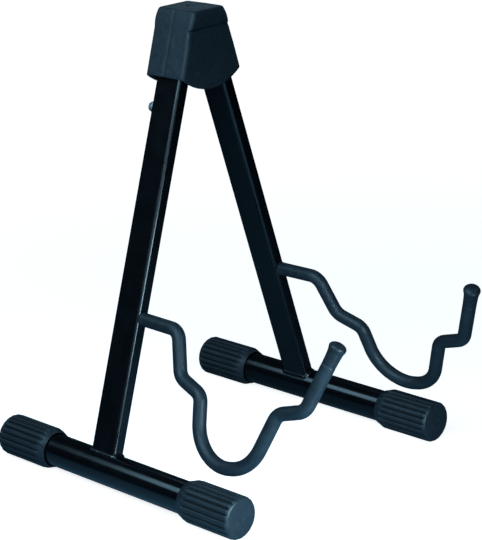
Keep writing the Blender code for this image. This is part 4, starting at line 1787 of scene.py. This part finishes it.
@dataclass(frozen=True)
class Softbox:
    """A rectangular light that looks at a place on the stand from round it."""

    name: str
    azimuth: float
    elevation: float
    distance: float
    size: Point
    watts: float
    colour: Colour
    aim: Colour = (0.0, 0.0, 0.15)
    roll: float = 0.0
    spread: float = 180.0

    def build(self) -> None:
        """Hangs the light."""
        lamp = bpy.data.lights.new(self.name, "AREA")
        lamp.shape = "RECTANGLE"
        lamp.size, lamp.size_y = self.size
        lamp.energy = self.watts
        lamp.color = self.colour
        lamp.spread = math.radians(self.spread)
        light = bpy.data.objects.new(self.name, lamp)
        back = outward(self.azimuth, self.elevation)
        roll = Matrix.Rotation(math.radians(self.roll), 3, "Z")
        turn = back.to_track_quat("Z", "Y").to_matrix() @ roll
        stand = Matrix.Translation(Vector(self.aim) + back * self.distance)
        light.matrix_world = stand @ turn.to_4x4()
        light.visible_camera = False
        bpy.context.scene.collection.objects.link(light)


def outward(azimuth: float, elevation: float) -> Vector:
    """The direction from the stand towards a place round it, angles in degrees."""
    a, e = math.radians(azimuth), math.radians(elevation)
    return Vector((math.sin(a) * math.cos(e), -math.cos(a) * math.cos(e), math.sin(e)))


@dataclass
class Studio:
    """A pale floor that runs out to a white room, soft lights and the camera."""

    target: Vector = field(default_factory=lambda: Vector((2.6 * MM, 11.5 * MM, 150.4 * MM)))
    azimuth: float = -46.33
    elevation: float = 18.12
    roll: float = -1.98
    distance: float = 1456.5 * MM
    lens: float = 128.13
    floor_radius: float = 12.0
    boxes: list[Softbox] = field(
        default_factory=lambda: [
            Softbox(
                "back_box", -145.0, 42.0, 2.0, (0.80, 0.42), 3.4, (0.42, 0.76, 1.0), roll=-45.0
            ),
            Softbox(
                "key_box", -77.0, 44.0, 0.7, (0.5, 0.5), 4.6, (0.45, 0.77, 1.0),
                (-0.08, 0.0, 0.2),
            ),
            Softbox("front_box", -42.0, 16.0, 1.2, (1.0, 0.45), 1.6, (0.50, 0.80, 1.0)),
            Softbox(
                "low_box", -6.0, 18.0, 0.32, (0.22, 0.16), 0.6, (0.50, 0.80, 1.0),
                (-0.112, -0.157, 0.016), spread=80.0,
            ),
            Softbox(
                "crown_box", 133.0, 20.0, 0.6, (0.30, 0.12), 0.015, (0.50, 0.80, 1.0),
                (0.0, 0.05, 0.35), spread=50.0,
            ),
        ]
    )

    def camera(self) -> None:
        """Sets up the camera."""
        lens = bpy.data.cameras.new("camera")
        lens.lens = self.lens
        lens.sensor_width = 36.0
        lens.clip_start, lens.clip_end = 0.05, 60.0
        camera = bpy.data.objects.new("camera", lens)
        back = outward(self.azimuth, self.elevation)
        roll = Matrix.Rotation(math.radians(self.roll), 3, "Z")
        turn = back.to_track_quat("Z", "Y").to_matrix() @ roll
        camera.matrix_world = Matrix.Translation(self.target + back * self.distance) @ turn.to_4x4()
        bpy.context.scene.collection.objects.link(camera)
        bpy.context.scene.camera = camera

    def floor(self) -> None:
        """Lays the pale floor; to rays other than the camera's it is a painted pool of cool light
        centred left of the front, dark further out.
        """
        shape = bmesh.new()
        bmesh.ops.create_circle(shape, cap_ends=True, segments=96, radius=self.floor_radius)
        mesh = bpy.data.meshes.new("floor")
        shape.to_mesh(mesh)
        shape.free()
        shader = Shader("pale_floor")
        seen = shader.signal("ShaderNodeLightPath", {}, {}, "Is Camera Ray")
        # Painted light: for bounce and reflections the floor is a cool pool of light centred left
        # of the front, fading to dark.
        painted_light_pool = shader.between(self.from_place(shader, (-0.30, -0.25)), 0.75, 0.15)
        lit = shader.blend(painted_light_pool, opaque((0.03, 0.05, 0.06)), opaque((0.22, 0.36, 0.46)))
        bounce = shader.signal("ShaderNodeBsdfDiffuse", {}, {"Color": lit})
        pale = shader.signal("ShaderNodeBsdfDiffuse", {}, {"Color": opaque((0.80, 0.80, 0.80))})
        away = shader.between(self.from_place(shader, (0.0, 0.0)), 0.3, 1.2)
        glow = shader.signal("ShaderNodeEmission", {}, {"Strength": 0.86 + away * 0.14})
        open_floor = shader.signal("ShaderNodeAddShader", {}, {0: pale, 1: glow})
        surface = shader.signal("ShaderNodeMixShader", {}, {0: seen, 1: bounce, 2: open_floor})
        shader.node("ShaderNodeOutputMaterial", {}, {"Surface": surface})
        mesh.materials.append(shader.material)
        floor = bpy.data.objects.new("floor", mesh)
        bpy.context.scene.collection.objects.link(floor)

    @staticmethod
    def from_place(shader: Shader, place: Point) -> Signal:
        """The distance from a place on the floor.

        Args:
            shader: The floor's shader.
            place: The place's X and Y.

        Returns:
            The distance in metres.
        """
        middle = {0: shader.place(), 1: (*place, 0.0)}
        return shader.signal("ShaderNodeVectorMath", {"operation": "DISTANCE"}, middle, "Value")

    def room(self) -> None:
        """Makes the room white to look at and dim and cool to light with."""
        world = bpy.data.worlds.new("room")
        world.use_nodes = True
        tree = world.node_tree
        tree.nodes.clear()
        seen = tree.nodes.new("ShaderNodeLightPath")
        white = tree.nodes.new("ShaderNodeBackground")
        white.inputs["Color"].default_value = (1.0, 1.0, 1.0, 1.0)
        dim = tree.nodes.new("ShaderNodeBackground")
        dim.inputs["Color"].default_value = (0.35, 0.65, 0.90, 1.0)
        dim.inputs["Strength"].default_value = 0.025
        either = tree.nodes.new("ShaderNodeMixShader")
        output = tree.nodes.new("ShaderNodeOutputWorld")
        tree.links.new(seen.outputs["Is Camera Ray"], either.inputs[0])
        tree.links.new(dim.outputs[0], either.inputs[1])
        tree.links.new(white.outputs[0], either.inputs[2])
        tree.links.new(either.outputs[0], output.inputs[0])
        bpy.context.scene.world = world

    def build(self) -> None:
        """Sets up the whole studio."""
        self.camera()
        self.floor()
        self.room()
        for box in self.boxes:
            box.build()
        bpy.context.scene.view_settings.view_transform = "Standard"


def main() -> None:
    """Builds the stand's looks and the studio."""
    logging.basicConfig(level=logging.INFO, format="%(name)s: %(message)s")
    Studio().build()
    shop = Workshop()
    Hood().build(shop)
    HingeBracket().build(shop)
    for stance in STANCES.values():
        LegTube().build(shop, stance)
        BaseTube().build(shop, stance)
        Arm().build(shop, stance)


if __name__ == "__main__":
    main()
